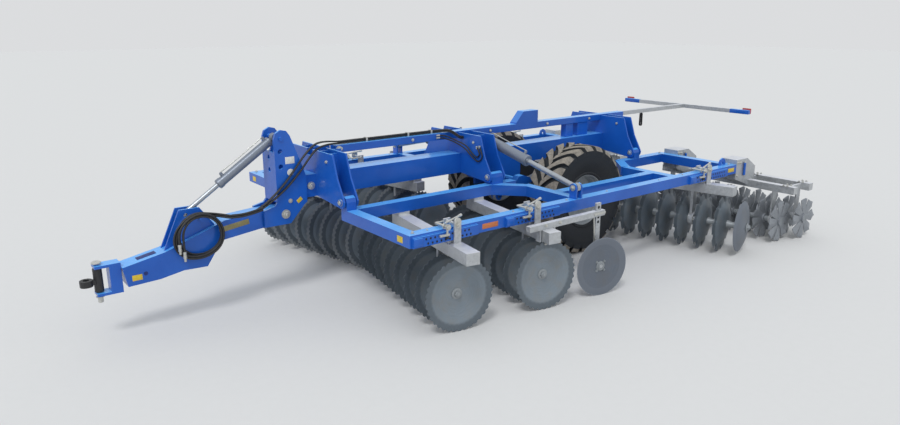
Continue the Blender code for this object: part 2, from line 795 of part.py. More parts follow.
def drawbar():
    """The cranked drawbar, its cylinder lugs, the hitch yoke and the hitch eye."""
    outline = [drawbar_point(*shares) for shares in DRAWBAR_SHARES]
    parts = [plate("y", -DRAWBAR_HALF, DRAWBAR_HALF, outline)]
    lug = [drawbar_point(*shares) for shares in DRAWBAR_LUG_SHARES]
    bolt = ring_points((RAM_LOW_X, RAM_LOW_Z), PIN_R, PIN_SIDES)
    for side in (-1, 1):
        faces = sorted((side * DRAWBAR_LUG_Y, side * (DRAWBAR_LUG_Y + PLATE)))
        parts.append(plate("y", faces[0], faces[1], lug, bolt))
    height = COIL_Z + COIL_R - COIL_WALL - HOOK_R - SEAT_GAP
    parts.append(rod((COIL_X, DRAWBAR_LUG_Y + THIN_PLATE, height), (COIL_X, HOOK_REACH, height), HOOK_R))
    hole = bore((PITCH_X, -DRAWBAR_HALF, PITCH_Z), (PITCH_X, DRAWBAR_HALF, PITCH_Z), PIN_R)
    node("drawbar", cut(united(parts), [hole]), BLUE, (PITCH_X, 0, PITCH_Z))


def hitch():
    """The yoke on the drawbar's nose, and the eye that swivels on its pin."""
    back = DRAWBAR_FRONT + SEAT_GAP
    front = DRAWBAR_FRONT + YOKE_LENGTH
    low = YOKE_TOP - YOKE_DEPTH
    parts = [block((back, -YOKE_HALF, low), (back + YOKE_BACK, YOKE_HALF, YOKE_TOP))]
    for bottom in (low, YOKE_TOP - YOKE_PLATE):
        inside = back + YOKE_BACK - THIN_PLATE
        parts.append(block((inside, -YOKE_HALF, bottom), (front, YOKE_HALF, bottom + YOKE_PLATE)))
    parts.append(rod((EYE_PIN_X, 0, low - PIN_HEAD), (EYE_PIN_X, 0, YOKE_TOP + PIN_HEAD), PIN_R, SHAFT_SIDES))
    node("hitch_yoke", united(parts), BLUE, (PITCH_X, 0, PITCH_Z))
    bush_low = low + YOKE_PLATE + SIDE_GAP
    bush_high = YOKE_TOP - YOKE_PLATE - SIDE_GAP
    centre = EYE_PIN_X + EYE_REACH
    parts = [rod((EYE_PIN_X, 0, bush_low), (EYE_PIN_X, 0, bush_high), EYE_BUSH_R, SHAFT_SIDES)]
    shank = block((EYE_PIN_X, -EYE_BUSH_R * 2 / 3, EYE_Z - EYE_THICK / 3),
                  (centre, EYE_BUSH_R * 2 / 3, EYE_Z + EYE_THICK / 3))
    parts.append(shank)
    parts.append(rod((centre, 0, EYE_Z - EYE_THICK / 2), (centre, 0, EYE_Z + EYE_THICK / 2), EYE_R, SHAFT_SIDES))
    cutters = [bore((EYE_PIN_X, 0, low), (EYE_PIN_X, 0, YOKE_TOP), PIN_R)]
    cutters.append(rod((centre, 0, low), (centre, 0, YOKE_TOP), EYE_BORE_R, SHAFT_SIDES))
    node("hitch_eye", cut(united(parts), cutters), BLACK, (EYE_PIN_X, 0, 0))


def barrel(start, end, radius, length, rod_r, floor, eye_r, eye_width):
    """A cylinder's barrel: an eye on its pin, then a tube that is bored for the rod."""
    start, end = Vector(start), Vector(end)
    along = (end - start).normalized()
    across = along.cross(Vector((0, 0, 1))).normalized()
    inside = rod_r + ROD_FIT
    foot = eye_r / 2
    profile = [(0, foot), (radius, foot + eye_r), (radius, length), (inside, length),
               (inside, floor), (0, floor)]
    tube = moved(turned(profile, SHAFT_SIDES), frame_along(start, end))
    half = across * eye_width / 2
    solid = united([tube, rod(start - half, start + half, eye_r, SHAFT_SIDES)])
    return cut(solid, [bore(start - half, start + half, PIN_R)])


def piston_rod(start, end, radius, back, eye_r, eye_width):
    """A piston rod that ends in an eye, with its other end inside the barrel."""
    start, end = Vector(start), Vector(end)
    along = (end - start).normalized()
    across = along.cross(Vector((0, 0, 1))).normalized()
    length = (end - start).length
    profile = [(0, back), (radius, back), (radius, length - eye_r / 2), (0, length - eye_r / 2)]
    shaft = moved(turned(profile, SHAFT_SIDES), frame_along(start, end))
    half = across * eye_width / 2
    solid = united([shaft, rod(end - half, end + half, eye_r, SHAFT_SIDES)])
    past = across * (eye_width / 2 + CUT_OVER)
    return cut(solid, [rod(end - past, end + past, PIN_R, SHAFT_SIDES)])


def cylinders():
    """The drawbar's, the axle's and the wings' cylinders."""
    eye = RAM_EYE_WIDTH - 2 * SIDE_GAP
    top = (RAM_TOP_X, 0, RAM_TOP_Z)
    low = (RAM_LOW_X, 0, RAM_LOW_Z)
    node("draw_barrel", barrel(top, low, DRAW_BARREL_R, DRAW_BARREL_END, DRAW_ROD_R,
                               DRAW_BORE_FLOOR, DRAW_EYE_R, RAM_EYE_WIDTH), SILVER, top)
    node("draw_rod", piston_rod(top, low, DRAW_ROD_R, DRAW_ROD_BACK, DRAW_EYE_R, eye), CHROME, low)
    rear = (LIFT_REAR_X, 0, LIFT_REAR_Z)
    lever = (LIFT_LEVER_X, 0, LIFT_LEVER_Z)
    node("lift_barrel", barrel(rear, lever, LIFT_BARREL_R, LIFT_BARREL_END, LIFT_ROD_R,
                               LIFT_BORE_FLOOR, LIFT_EYE_R, RAM_EYE_WIDTH), SILVER, rear)
    lever_eye = 2 * (LEVER_IN - SIDE_GAP)
    node("lift_rod", piston_rod(rear, lever, LIFT_ROD_R, LIFT_ROD_BACK, LIFT_EYE_R, lever_eye), CHROME, lever)
    top = (FOLD_X, FOLD_TOP_Y, FOLD_TOP_Z)
    low = (FOLD_X, FOLD_LOW_Y, FOLD_LOW_Z)
    both_sides("fold_barrel", barrel(top, low, FOLD_BARREL_R, FOLD_BARREL_END, FOLD_ROD_R,
                                     FOLD_BORE_FLOOR, FOLD_EYE_R, RAM_EYE_WIDTH), SILVER, top)
    eye = FOLD_LUG_GAP - 2 * SIDE_GAP
    both_sides("fold_rod", piston_rod(top, low, FOLD_ROD_R, FOLD_ROD_BACK, FOLD_EYE_R, eye), CHROME, low)


def link_outline(first, first_r, last, last_r):
    """An outline with round ends about two points."""
    angle = atan2(last[1] - first[1], last[0] - first[0]) * 180 / pi
    return (arc_points(first, first_r, angle + 90, angle + 270)
            + arc_points(last, last_r, angle - 90, angle + 90))


def axle():
    """The cranked axle: cross tube, two arms, stub axles and the lift lever."""
    pivot = (AXLE_X, AXLE_Z)
    reach = ARM_IN + ARM_WALL / 2
    parts = [rod((AXLE_X, -reach, AXLE_Z), (AXLE_X, reach, AXLE_Z), AXLE_R, SHAFT_SIDES)]
    arm = link_outline(pivot, ARM_PIVOT_R, (WHEEL_X, TYRE_R), ARM_WHEEL_R)
    lever = link_outline(pivot, LEVER_HUB_R, (LIFT_LEVER_X, LIFT_LEVER_Z), LIFT_EYE_R)
    bolt = ring_points((LIFT_LEVER_X, LIFT_LEVER_Z), PIN_R, PIN_SIDES)
    for side in (-1, 1):
        faces = sorted((side * ARM_IN, side * (ARM_IN + ARM_WALL)))
        parts.append(plate("y", faces[0], faces[1], arm))
        faces = sorted((side * LEVER_IN, side * (LEVER_IN + PLATE)))
        parts.append(plate("y", faces[0], faces[1], lever, bolt))
        inside = side * (ARM_IN + ARM_WALL / 2)
        outside = side * (WHEEL_Y + HUB_LENGTH / 2 - PLATE)
        shoulder = side * (WHEEL_Y - HUB_LENGTH / 2 - SEAT_GAP)
        parts.append(rod((WHEEL_X, inside, TYRE_R), (WHEEL_X, outside, TYRE_R), STUB_R, SHAFT_SIDES))
        parts.append(rod((WHEEL_X, inside, TYRE_R), (WHEEL_X, shoulder, TYRE_R), ARM_WHEEL_R, SHAFT_SIDES))
    node("axle", united(parts), BLUE, (AXLE_X, 0, AXLE_Z))


def wheels():
    """Rims and tyres, turned about the wheels' axis."""
    centre = (WHEEL_X, WHEEL_Y, TYRE_R)
    place = frame_along(centre, (WHEEL_X, WHEEL_Y + 1, TYRE_R))
    hole = bore_radius(STUB_R, SHAFT_SIDES)
    inside = RIM_R - RIM_WALL
    face = RIM_WIDTH / 2
    hub = HUB_LENGTH / 2
    rim = [(hole, -hub), (HUB_R, -hub), (HUB_R, -RIM_DISC), (inside, -RIM_DISC), (inside, -face),
           (RIM_R, -face), (RIM_R, face), (inside, face), (inside, 0), (HUB_R, 0), (HUB_R, hub), (hole, hub)]
    both_sides("rim", moved(turned(rim, TYRE_SIDES, closed=True), place), GALVANISED, centre)
    seat = RIM_R + SEAT_GAP
    height = TYRE_R - seat
    half = [(seat + height * up, TYRE_WIDTH * across) for across, up in TYRE_SHARES]
    tyre = half + [(radius, -across) for radius, across in reversed(half)]
    both_sides("tyre", moved(turned(tyre, TYRE_SIDES, closed=True), place), RUBBER, centre)


def hinge_lug(front, rear):
    """A wing's lug between two portal plates."""
    base = WING_TOP - TUBE / 2
    outline = arc_points((HINGE_Y, HINGE_Z), HINGE_LUG_R, 0, 180)
    outline += [(HINGE_Y - HINGE_LUG_R, base), (HINGE_Y + HINGE_LUG_R, base)]
    return plate("x", rear + PLATE + SIDE_GAP, min(front - PLATE - SIDE_GAP, -SEAT_GAP), outline)


def wing_frame():
    """The left wing's frame of square tubes."""
    middle = WING_TOP - TUBE / 2
    low = WING_TOP - TUBE
    half = TUBE / 2
    in_y = WING_IN + half
    out_y = WING_OUT - half
    # start and end of each tube's middle line, in X and Y
    tubes = (
        ((0, out_y), (WING_REAR, out_y)),
        ((-half, WING_IN), (-half, out_y)),
        ((0, in_y), (INNER_FRONT_END, in_y)),
        ((BEND_X, in_y), (WHEEL_AHEAD_X, BEND_Y)),
        ((WHEEL_AHEAD_X, BEND_Y - half), (WHEEL_AHEAD_X, out_y)),
        ((WHEEL_AHEAD_X, BESIDE_Y), (WHEEL_BEHIND_X, BESIDE_Y)),
        ((WHEEL_BEHIND_X, BEND_Y), (WHEEL_BEHIND_X, out_y)),
        ((WHEEL_BEHIND_X, BEND_Y), (INNER_REAR_FRONT, in_y)),
        ((INNER_REAR_FRONT, in_y), (REAR_BEAM_X - half, in_y)),
        ((REAR_BEAM_X, WING_IN), (REAR_BEAM_X, out_y)),
    )
    parts = []
    for (x0, y0), (x1, y1) in tubes:
        parts.append(bar((x0, y0, middle), (x1, y1, middle), TUBE, TUBE))
    for front, rear in ANGLE_PLATES:
        parts.append(block((rear, out_y, low), (front, WING_OUT + ANGLE_PROUD, ANGLE_TOP)))
    for _, front, rear in PORTALS:
        parts.append(hinge_lug(front, rear))
    lug = arc_points((FOLD_LOW_Y, FOLD_LOW_Z), FOLD_EYE_R, 0, 180)
    lug += [(out_y - half + THIN_PLATE, middle), (out_y + half - THIN_PLATE, middle)]
    bolt = ring_points((FOLD_LOW_Y, FOLD_LOW_Z), PIN_R, PIN_SIDES)
    for side in (-1, 1):
        faces = sorted((FOLD_X + side * FOLD_LUG_GAP / 2, FOLD_X + side * (FOLD_LUG_GAP / 2 + PLATE)))
        parts.append(plate("x", faces[0], faces[1], lug, bolt))
    corner = arc_points((CORNER_LUG_X, WING_TOP + CORNER_LUG_R / 3), CORNER_LUG_R, 0, 180)
    corner += [(CORNER_LUG_X - CORNER_LUG_R, middle), (CORNER_LUG_X + CORNER_LUG_R, middle)]
    hole = ring_points((CORNER_LUG_X, WING_TOP + CORNER_LUG_R / 3), PIN_R, PIN_SIDES)
    parts.append(plate("y", out_y - half, out_y - half + PLATE, corner, hole))
    hole = bore((WING_REAR, HINGE_Y, HINGE_Z), (0, HINGE_Y, HINGE_Z), PIN_R, PIN_SIDES)
    both_sides("wing_frame", cut(united(parts), [hole]), BLUE, (0, HINGE_Y, HINGE_Z))


class Gang:
    """A gang's own axis: distances run inwards from its outer disc."""

    def __init__(self, row):
        (self.name, x, y, inner_y, degrees, self.count, self.notches, self.end_disc,
         self.outer, self.hanger_gaps) = row
        self.turn = radians(degrees)
        self.dish = -DISC_DISH if degrees > 0 else DISC_DISH
        self.along = Vector((-sin(self.turn), -cos(self.turn), 0))
        self.start = Vector((x, y, DISC_R))
        self.gap = self.at_y(inner_y) / (self.count - 1)
        self.inner = self.at_y(WING_IN) + GANG_BEAM_PAST

    def at(self, distance, height=0):
        """A place on the gang's axis, or above the ground over it."""
        place = self.start + self.along * distance
        if height:
            place.z = height
        return place

    def at_y(self, y):
        """The distance along the gang of a line at Y."""
        return (y - self.start.y) / self.along.y

    def hangers(self):
        """Distances of the hangers, each seated on the hollow disc's domed side."""
        room = SEAT_GAP + HOUSING_LENGTH / 2
        if self.dish > 0:
            return [self.gap * (space + 1) - room for space in self.hanger_gaps]
        return [self.gap * space + DISC_THICK + room for space in self.hanger_gaps]


def disc_gang(gang):
    """An axle with its spools and dished discs, turned as one body."""
    first = -AXLE_END
    profile = []
    if gang.end_disc:
        first -= gang.gap
        profile = disc_profile(-gang.gap, END_DISC_R, gang.dish)
    for k in range(gang.count):
        profile += disc_profile(k * gang.gap, DISC_R, gang.dish)
    last = (gang.count - 1) * gang.gap + AXLE_END
    profile = [(0, first), (SPOOL_R, first)] + profile + [(SPOOL_R, last), (0, last)]
    solid = turned(profile, gang.notches * NOTCH_STEPS or DISC_SIDES)
    if gang.notches:
        notch(solid, gang.notches)
    moved(solid, frame_along(gang.start, gang.start + gang.along))
    both_sides("disc_gang_" + gang.name, solid, STEEL, gang.start)


def notch(solid, notches):
    """Pull one point of each step round the full discs' rims in, as a notch."""
    for vertex in solid.data.vertices:
        reach = vertex.co.xy.length
        if reach > (DISC_R + END_DISC_R) / 2:
            place = atan2(vertex.co.y, vertex.co.x) / (2 * pi) * notches
            if abs(place - round(place)) < 1 / (2 * NOTCH_STEPS):
                vertex.co.xy *= NOTCH_SHARE


def disc_profile(place, radius, dish):
    """One dished disc's section, from its hub out to its edge and back."""
    return [(SPOOL_R, place), (radius, place + dish + DISC_THICK / 2), (SPOOL_R, place + DISC_THICK)]


def gang_beam(gang):
    """A galvanised beam with its pads, clamp, hangers and bearing housings."""
    middle = GANG_BEAM_TOP - GANG_BEAM_DEPTH / 2
    low = GANG_BEAM_TOP - GANG_BEAM_DEPTH
    parts = [bar(gang.at(-gang.outer, middle), gang.at(gang.inner, middle), GANG_BEAM_WIDTH, GANG_BEAM_DEPTH)]
    pad_top = WING_TOP - TUBE - SEAT_GAP
    for y in (WING_OUT - TUBE / 2, WING_IN + TUBE / 2):
        reach = gang.at_y(y)
        centre = (pad_top + middle) / 2
        ends = [gang.at(reach - TUBE / 2, centre), gang.at(reach + TUBE / 2, centre)]
        parts.append(bar(ends[0], ends[1], GANG_BEAM_WIDTH - THIN_PLATE, pad_top - middle))
    cutters = []
    for reach in gang.hangers():
        ends = [gang.at(reach - HANGER_WALL / 2, (low + DISC_R) / 2)]
        ends.append(gang.at(reach + HANGER_WALL / 2, (low + DISC_R) / 2))
        parts.append(bar(ends[0], ends[1], HANGER_WIDTH, low - DISC_R + 2 * THIN_PLATE))
        ends = [gang.at(reach - HOUSING_LENGTH / 2), gang.at(reach + HOUSING_LENGTH / 2)]
        parts.append(rod(ends[0], ends[1], HOUSING_R, SHAFT_SIDES))
        cutters.append(bore(ends[0], ends[1], SPOOL_R, SHAFT_SIDES))
    parts += strap(gang, middle)
    both_sides("gang_beam_" + gang.name, cut(united(parts), cutters), GALVANISED, (0, HINGE_Y, HINGE_Z))


def strap(gang, base):
    """Two strap plates and a bar that hold the gang beam to the outer wing tube."""
    x = gang.at(gang.at_y(WING_OUT - TUBE / 2)).x
    out_y = WING_OUT + ANGLE_PROUD + SEAT_GAP
    in_y = WING_OUT - TUBE - SEAT_GAP
    half = STRAP_WIDTH / 2
    parts = [block((x - half, out_y, base), (x + half, out_y + STRAP_WALL, STRAP_TOP))]
    parts.append(block((x - half, in_y - STRAP_WALL, base), (x + half, in_y, STRAP_TOP)))
    z = STRAP_TOP - STRAP_BAR_R - THIN_PLATE
    parts.append(rod((x, in_y - 2 * STRAP_WALL, z), (x, out_y + 2 * STRAP_WALL, z), STRAP_BAR_R))
    return parts


def furrow_arm(gang):
    """A tube on the second gang's beam, its cheeks, and the stem of the furrow disc."""
    bottom = GANG_BEAM_TOP + SEAT_GAP
    half = FURROW_TUBE / 2
    low = (FURROW_TUBE_REAR, FURROW_TUBE_Y - half, bottom)
    parts = [block(low, (FURROW_TUBE_FRONT, FURROW_TUBE_Y + half, bottom + FURROW_TUBE))]
    centre = gang.at(gang.at_y(FURROW_TUBE_Y)).x
    clear = GANG_BEAM_WIDTH / 2 / cos(gang.turn) + half * abs(gang.along.x) + THIN_PLATE
    for side in (-1, 1):
        faces = sorted((centre + side * clear, centre + side * (clear + PLATE)))
        base = bottom + FURROW_TUBE - FURROW_CHEEK_DROP
        parts.append(block((faces[0], FURROW_TUBE_Y - half, base),
                           (faces[1], FURROW_TUBE_Y + half, bottom + FURROW_TUBE - SEAT_GAP)))
    across = Vector((sin(radians(FURROW_TURN)), cos(radians(FURROW_TURN)), 0))
    hub = Vector((FURROW_X, FURROW_TUBE_Y, FURROW_R))
    stem = FURROW_STEM_WIDTH / 2
    wall = FURROW_STEM_WALL / 2
    parts.append(block((FURROW_X - stem, FURROW_TUBE_Y - wall, FURROW_R - stem),
                       (FURROW_X + stem, FURROW_TUBE_Y + wall, FURROW_STEM_TOP)))
    end = hub + across * (FURROW_HUB_LENGTH + FURROW_HUB_R)
    parts.append(rod(hub, end, FURROW_STUB_R, SHAFT_SIDES))
    shoulder = hub + across * (FURROW_HUB_R - SEAT_GAP)
    parts.append(rod(hub, shoulder, FURROW_HUB_R * 2 / 3, SHAFT_SIDES))
    both_sides("furrow_arm", united(parts), GALVANISED, (0, HINGE_Y, HINGE_Z))
    inner = bore_radius(FURROW_STUB_R, SHAFT_SIDES)
    stand = FURROW_HUB_R
    disc = stand + FURROW_HUB_LENGTH / 2
    profile = [(inner, stand), (FURROW_HUB_R, stand), (FURROW_HUB_R, disc),
               (FURROW_R, disc + DISC_DISH / 2), (FURROW_R, disc + DISC_DISH / 2 + DISC_THICK),
               (FURROW_HUB_R, disc + DISC_THICK), (FURROW_HUB_R, stand + FURROW_HUB_LENGTH),
               (inner, stand + FURROW_HUB_LENGTH)]
    solid = moved(turned(profile, DISC_SIDES, closed=True), frame_along(hub, hub + across))
    both_sides("furrow_disc", solid, STEEL, hub)


def star_points(radius):
    """The outline of a star with round-nosed petals."""
    points = []
    for k in range(STAR_POINTS):
        middle = 2 * pi * k / STAR_POINTS
        step = pi / STAR_POINTS
        for share, reach in STAR_SHARES:
            angle = middle + share * step
            points.append((radius * reach * cos(angle), radius * reach * sin(angle)))
    return points


def star_gap(outer, inner):
    """The distance between two stars of a roller."""
    return (outer - inner) / (STAR_COUNT - 1)


def star_roller(name, x, outer, last):
    """A roller of star wheels on one axle."""
    centre = Vector((x, outer, ROLLER_R))
    gap = star_gap(outer, last)
    ends = (outer + ROLLER_HUB / 2, last - ROLLER_HUB / 2)
    parts = [rod((x, ends[1], ROLLER_R), (x, ends[0], ROLLER_R), ROLLER_AXLE_R, PIN_SIDES)]
    collar = outer - gap / 2 + TAIL_HANGER_WALL / 2 + THIN_PLATE + SEAT_GAP
    parts.append(rod((x, collar, ROLLER_R), (x, outer, ROLLER_R), TAIL_BEARING_R * 3 / 4, PIN_SIDES))
    outline = [(x + across, ROLLER_R + up) for across, up in star_points(ROLLER_R)]
    for k in range(STAR_COUNT):
        y = outer - k * gap
        parts.append(plate("y", y - STAR_WALL / 2, y + STAR_WALL / 2, outline))
    both_sides("star_roller_" + name, united(parts), STEEL, centre)


def tail_frame():
    """Brackets behind the rear tube, two cross tubes, links and roller hangers."""
    half = TAIL_TUBE / 2
    low = TAIL_TUBE_TOP - TAIL_TUBE
    parts = []
    cutters = []
    for _, x, outer, inner in ROLLERS:
        parts.append(block((x - half, TAIL_IN, low), (x + half, TAIL_OUT, TAIL_TUBE_TOP)))
        room = star_gap(outer, inner) / 2
        for y in (outer - room, inner + room):
            faces = (y - TAIL_HANGER_WALL / 2, y + TAIL_HANGER_WALL / 2)
            width = TAIL_HANGER_WIDTH / 2
            parts.append(block((x - width, faces[0], ROLLER_R), (x + width, faces[1], low + THIN_PLATE)))
            parts.append(rod((x, faces[0] - THIN_PLATE, ROLLER_R), (x, faces[1] + THIN_PLATE, ROLLER_R),
                             TAIL_BEARING_R, PIN_SIDES))
            ends = [(x, faces[0], ROLLER_R), (x, faces[1], ROLLER_R)]
            cutters.append(bore(ends[0], ends[1], ROLLER_AXLE_R, PIN_SIDES))
    for y in TAIL_LINKS_Y:
        back, front = ROLLERS[1][1], ROLLERS[0][1]
        parts.append(block((back, y - TAIL_LINK_WALL / 2, low + THIN_PLATE),
                           (front, y + TAIL_LINK_WALL / 2, TAIL_TUBE_TOP - THIN_PLATE)))
    face = REAR_BEAM_X - TUBE / 2 - SEAT_GAP
    height = TAIL_BRACKET_TOP - TAIL_BRACKET_LOW
    outline = [(face - TAIL_BRACKET_REACH * reach, TAIL_BRACKET_LOW + height * up)
               for reach, up in TAIL_BRACKET_SHARES]
    for y in TAIL_BRACKETS_Y:
        inner = y - TAIL_BRACKET_WIDTH
        inside = [(across - THIN_PLATE, up - THIN_PLATE) for across, up in outline]
        hollow = plate("y", inner + THIN_PLATE, y - THIN_PLATE, inside)
        parts.append(cut(plate("y", inner, y, outline), [hollow]))
    both_sides("tail_frame", cut(united(parts), cutters), GALVANISED, (0, HINGE_Y, HINGE_Z))


def hoses():
    """The hose run on the rail, the coil on the drawbar, the lead between, the lamp cable."""
    node("hose_run", tube_along(RUN_ROUTE, HOSE_R, steps=1), HOSE)
    node("hose_lead", tube_along(LEAD_ROUTE, HOSE_R), HOSE, (PITCH_X, 0, PITCH_Z))
    section = [(COIL_R + COIL_WALL * cos(a), COIL_HALF * sin(a))
               for a in [2 * pi * k / PIN_SIDES for k in range(PIN_SIDES)]]
    place = frame_along((COIL_X, COIL_Y, COIL_Z), (COIL_X, COIL_Y + 1, COIL_Z))
    coil = moved(turned(section, COIL_SIDES, closed=True), place)
    node("hose_coil", coil, HOSE, (PITCH_X, 0, PITCH_Z))
    for number, (x, high) in enumerate(COUPLERS, 1):
        place = frame_along((x, COUPLER_Y, high), (x, COUPLER_Y, 0))
        coupler = moved(turned(COUPLER_SECTION, PIN_SIDES), place)
        node(f"hose_coupler_{number}", coupler, CHROME, (PITCH_X, 0, PITCH_Z))
    top = RAIL_TOP - LIGHT_TUBE - SEAT_GAP
    half = CABLE_WIDTH / 2
    outline = [(CABLE_X - half, top), (CABLE_X + half, top)]
    outline += arc_points((CABLE_X, top - CABLE_LENGTH + half), half, 0, -180)
    node("lamp_cable", plate("y", -CABLE_WALL / 2, CABLE_WALL / 2, outline), HOSE)


def harrow():
    """The whole machine."""
    main_beam()
    portals()
    top_rail()
    light_bar()
    mast()
    drawbar()
    hitch()
    cylinders()
    axle()
    wheels()
    wing_frame()
    gangs = [Gang(row) for row in GANGS]
    for gang in gangs:
        disc_gang(gang)
        gang_beam(gang)
    furrow_arm(gangs[1])
    for row in ROLLERS:
        star_roller(*row)
    tail_frame()
    hoses()


harrow()
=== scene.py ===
"""The towed disc harrow dressed for its portrait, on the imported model.

Metres, +Z up, +X towards the tractor, +Y to the left of the direction of travel.
Places are written as in the model's source: X from the front face of the wings,
Z from the ground. MODEL_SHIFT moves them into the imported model's own frame.
"""
from math import cos, pi, radians, sin, sqrt

import bmesh
import bpy
from mathutils import Matrix, Vector


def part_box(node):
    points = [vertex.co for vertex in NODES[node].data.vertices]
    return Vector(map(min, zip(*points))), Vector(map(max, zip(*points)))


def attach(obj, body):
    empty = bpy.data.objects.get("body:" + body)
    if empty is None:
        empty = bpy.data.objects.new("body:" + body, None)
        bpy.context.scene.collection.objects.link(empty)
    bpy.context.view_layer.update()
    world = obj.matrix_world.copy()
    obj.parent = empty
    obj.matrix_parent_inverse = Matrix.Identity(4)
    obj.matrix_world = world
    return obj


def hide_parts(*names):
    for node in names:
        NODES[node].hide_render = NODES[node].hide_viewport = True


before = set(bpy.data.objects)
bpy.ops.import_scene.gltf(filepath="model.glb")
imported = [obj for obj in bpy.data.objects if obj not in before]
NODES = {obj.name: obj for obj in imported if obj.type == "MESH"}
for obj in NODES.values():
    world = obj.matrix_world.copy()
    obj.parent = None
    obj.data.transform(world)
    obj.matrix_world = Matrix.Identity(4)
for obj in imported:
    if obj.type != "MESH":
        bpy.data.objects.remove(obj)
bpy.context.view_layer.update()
MODEL_SHIFT = 1.80365
X_AXIS = Vector((1, 0, 0))
Y_AXIS = Vector((0, 1, 0))
Z_AXIS = Vector((0, 0, 1))
MIRROR = Matrix.Diagonal((1, -1, 1, 1))
SIDES = (("right", -1), ("left", 1))
# corners nearer than this are one
MERGE = 0.00005
SHARP_ANGLE = radians(32)

# The camera of the photograph
CAMERA_PLACE = Vector((4.70765, 5.694, 2.411))
CAMERA_TURN = radians(141.974)
CAMERA_DIP = radians(15.095)
CAMERA_LENS = 28.56
CAMERA_SENSOR = 36.0

# Studio
BACKDROP = (0.712, 0.722, 0.735)
SKY = (0.95, 0.98, 1.0, 1)
FLOOR_SHADE = 0.640
ZENITH_LEVEL = 0.95
HORIZON_LEVEL = 0.74
SUN_LEVEL = 1.15
SUN_SIZE = radians(14)
SUN_FROM = Vector((2.4, 1.9, 4.2))
FLOOR_HALF = 60.0

# Frames
WING_OUT = 1.49
WING_IN = 0.47
WING_TOP = 0.85
TUBE = 0.10
# the middle lines of a wing's outer and inner tubes
OUTER_LINE = WING_OUT - TUBE / 2
INNER_LINE = WING_IN + TUBE / 2
ANGLE_FACE = 1.51
ANGLE_PLATES = ((-0.02, -0.66), (-0.96, -1.60), (-3.55, -4.25))
HOLE_PITCH = 0.042
# height of each row of holes, and how far it is set back
HOLE_ROWS = ((0.806, 0.0), (0.769, -0.018))
STRAP_TOP = 0.895
STRAP_FACE = 1.5253
STRAP_HALF = 0.035
MAST_HALF = 0.125
DRAWBAR_HALF = 0.09
RAIL_HALF = 0.05
RAIL_Z = 1.285
HITCH_X = 1.86
# the tail brackets' springs
SPRING_X = -4.60
HINGE_Y = 0.52
HINGE_Z = 0.92
# front and rear face of each portal
PORTAL_FACES = ((0.03, -0.115), (-1.61, -1.795), (-3.80, -3.935))
PLATE_THICK = 0.0012

# Discs
DISC_R = 0.305
DISC_THICK = 0.007
DISC_DISH = 0.055
PLAIN_DISC_R = 0.27
SPOOL_R = 0.042
# notches, their depth, the share of the rim that they take, and the steps round the disc
FINE_RIM = (36, 0.0125, 0.50, 216)
DEEP_RIM = (10, 0.040, 0.34, 160)
PLAIN_RIM = (0, 0, 1, 96)
# where the flat band round a disc starts, in shares of its radius and of its dish
BAND_START = 0.77
BAND_RISE = 0.78
# where the ground edge starts, and half the thickness of its tip
GROUND_START = 0.90
PLAIN_GROUND_START = 0.975
TIP_HALF = 0.0009
# how far each disc is turned against the one before
DISC_STAGGER = radians(37)
# name, X and Y of the outer disc, Y of the inner disc, angle, discs, deep notches and end disc
GANGS = (
    ("1", -0.42, 1.53, 0.1155, 9.7, 8, False),
    ("2", -1.28, 1.63, 0.2155, 9.7, 8, False),
    ("3", -3.945, 1.74, 0.1487, -14.0, 9, True),
)
# underside of the gang beams, half width of a hanger's bearing, and how far the hangers lie
# from a disc of the front gangs and of the rear gang
BEAM_UNDER = 0.62
BEARING_HALF = 0.028
HANGER_SHIFT = 0.0348
REAR_HANGER_SHIFT = -0.0278
FURROW_HUB = Vector((-1.93, 1.655, 0.27))
FURROW_TURN = radians(12)
FURROW_FACE = 0.070

# Star rollers: name, X of the axle, Y of the outermost and innermost star
ROLLERS = (("1", -4.75, 1.90, 0.38), ("2", -5.09, 1.995, 0.475))
ROLLER_R = 0.235
ROLLER_AXLE_R = 0.030
ROLLER_COLLAR = 0.018
STAR_COUNT = 9
PETALS = 8
STAR_WALL = 0.008
STAR_HUB_R = 0.052
# how far each star is turned against the one before
STAR_STAGGER = radians(11)

# Wheels
WHEEL = Vector((-2.73, 0.66, 0.575))
TYRE_R = 0.575
TYRE_HALF = 0.19
CARCASS_R = 0.545
SHOULDER_HALF = 0.176
TREAD_STEPS = 12
LUGS = 22
LUG_STEPS = 8
# the radius up to which dust lies on the tyre's sides
DUSTY_R = 0.5
# how far a lug's inner end lies ahead of its outer one, as an angle
LUG_LEAN = 0.34
WHEEL_NUTS = 10

# The drawbar's long plate: X and Z of its middle, and its direction
LONG_PLATE = (0.80, 0.757)
LONG_PLATE_ALONG = (0.9907, 0, -0.136)

# Cylinders
# how far a sleeve stands off its solid, and how far it ends before the rod's eye
SLEEVE = 0.0007
ROD_EYE_SPACE = 0.048
# the fold pin, and how far its nuts lie off its middle
FOLD_X = -1.87
FOLD_PIN_Z = 0.95
FOLD_LUG_HALF = 0.0415
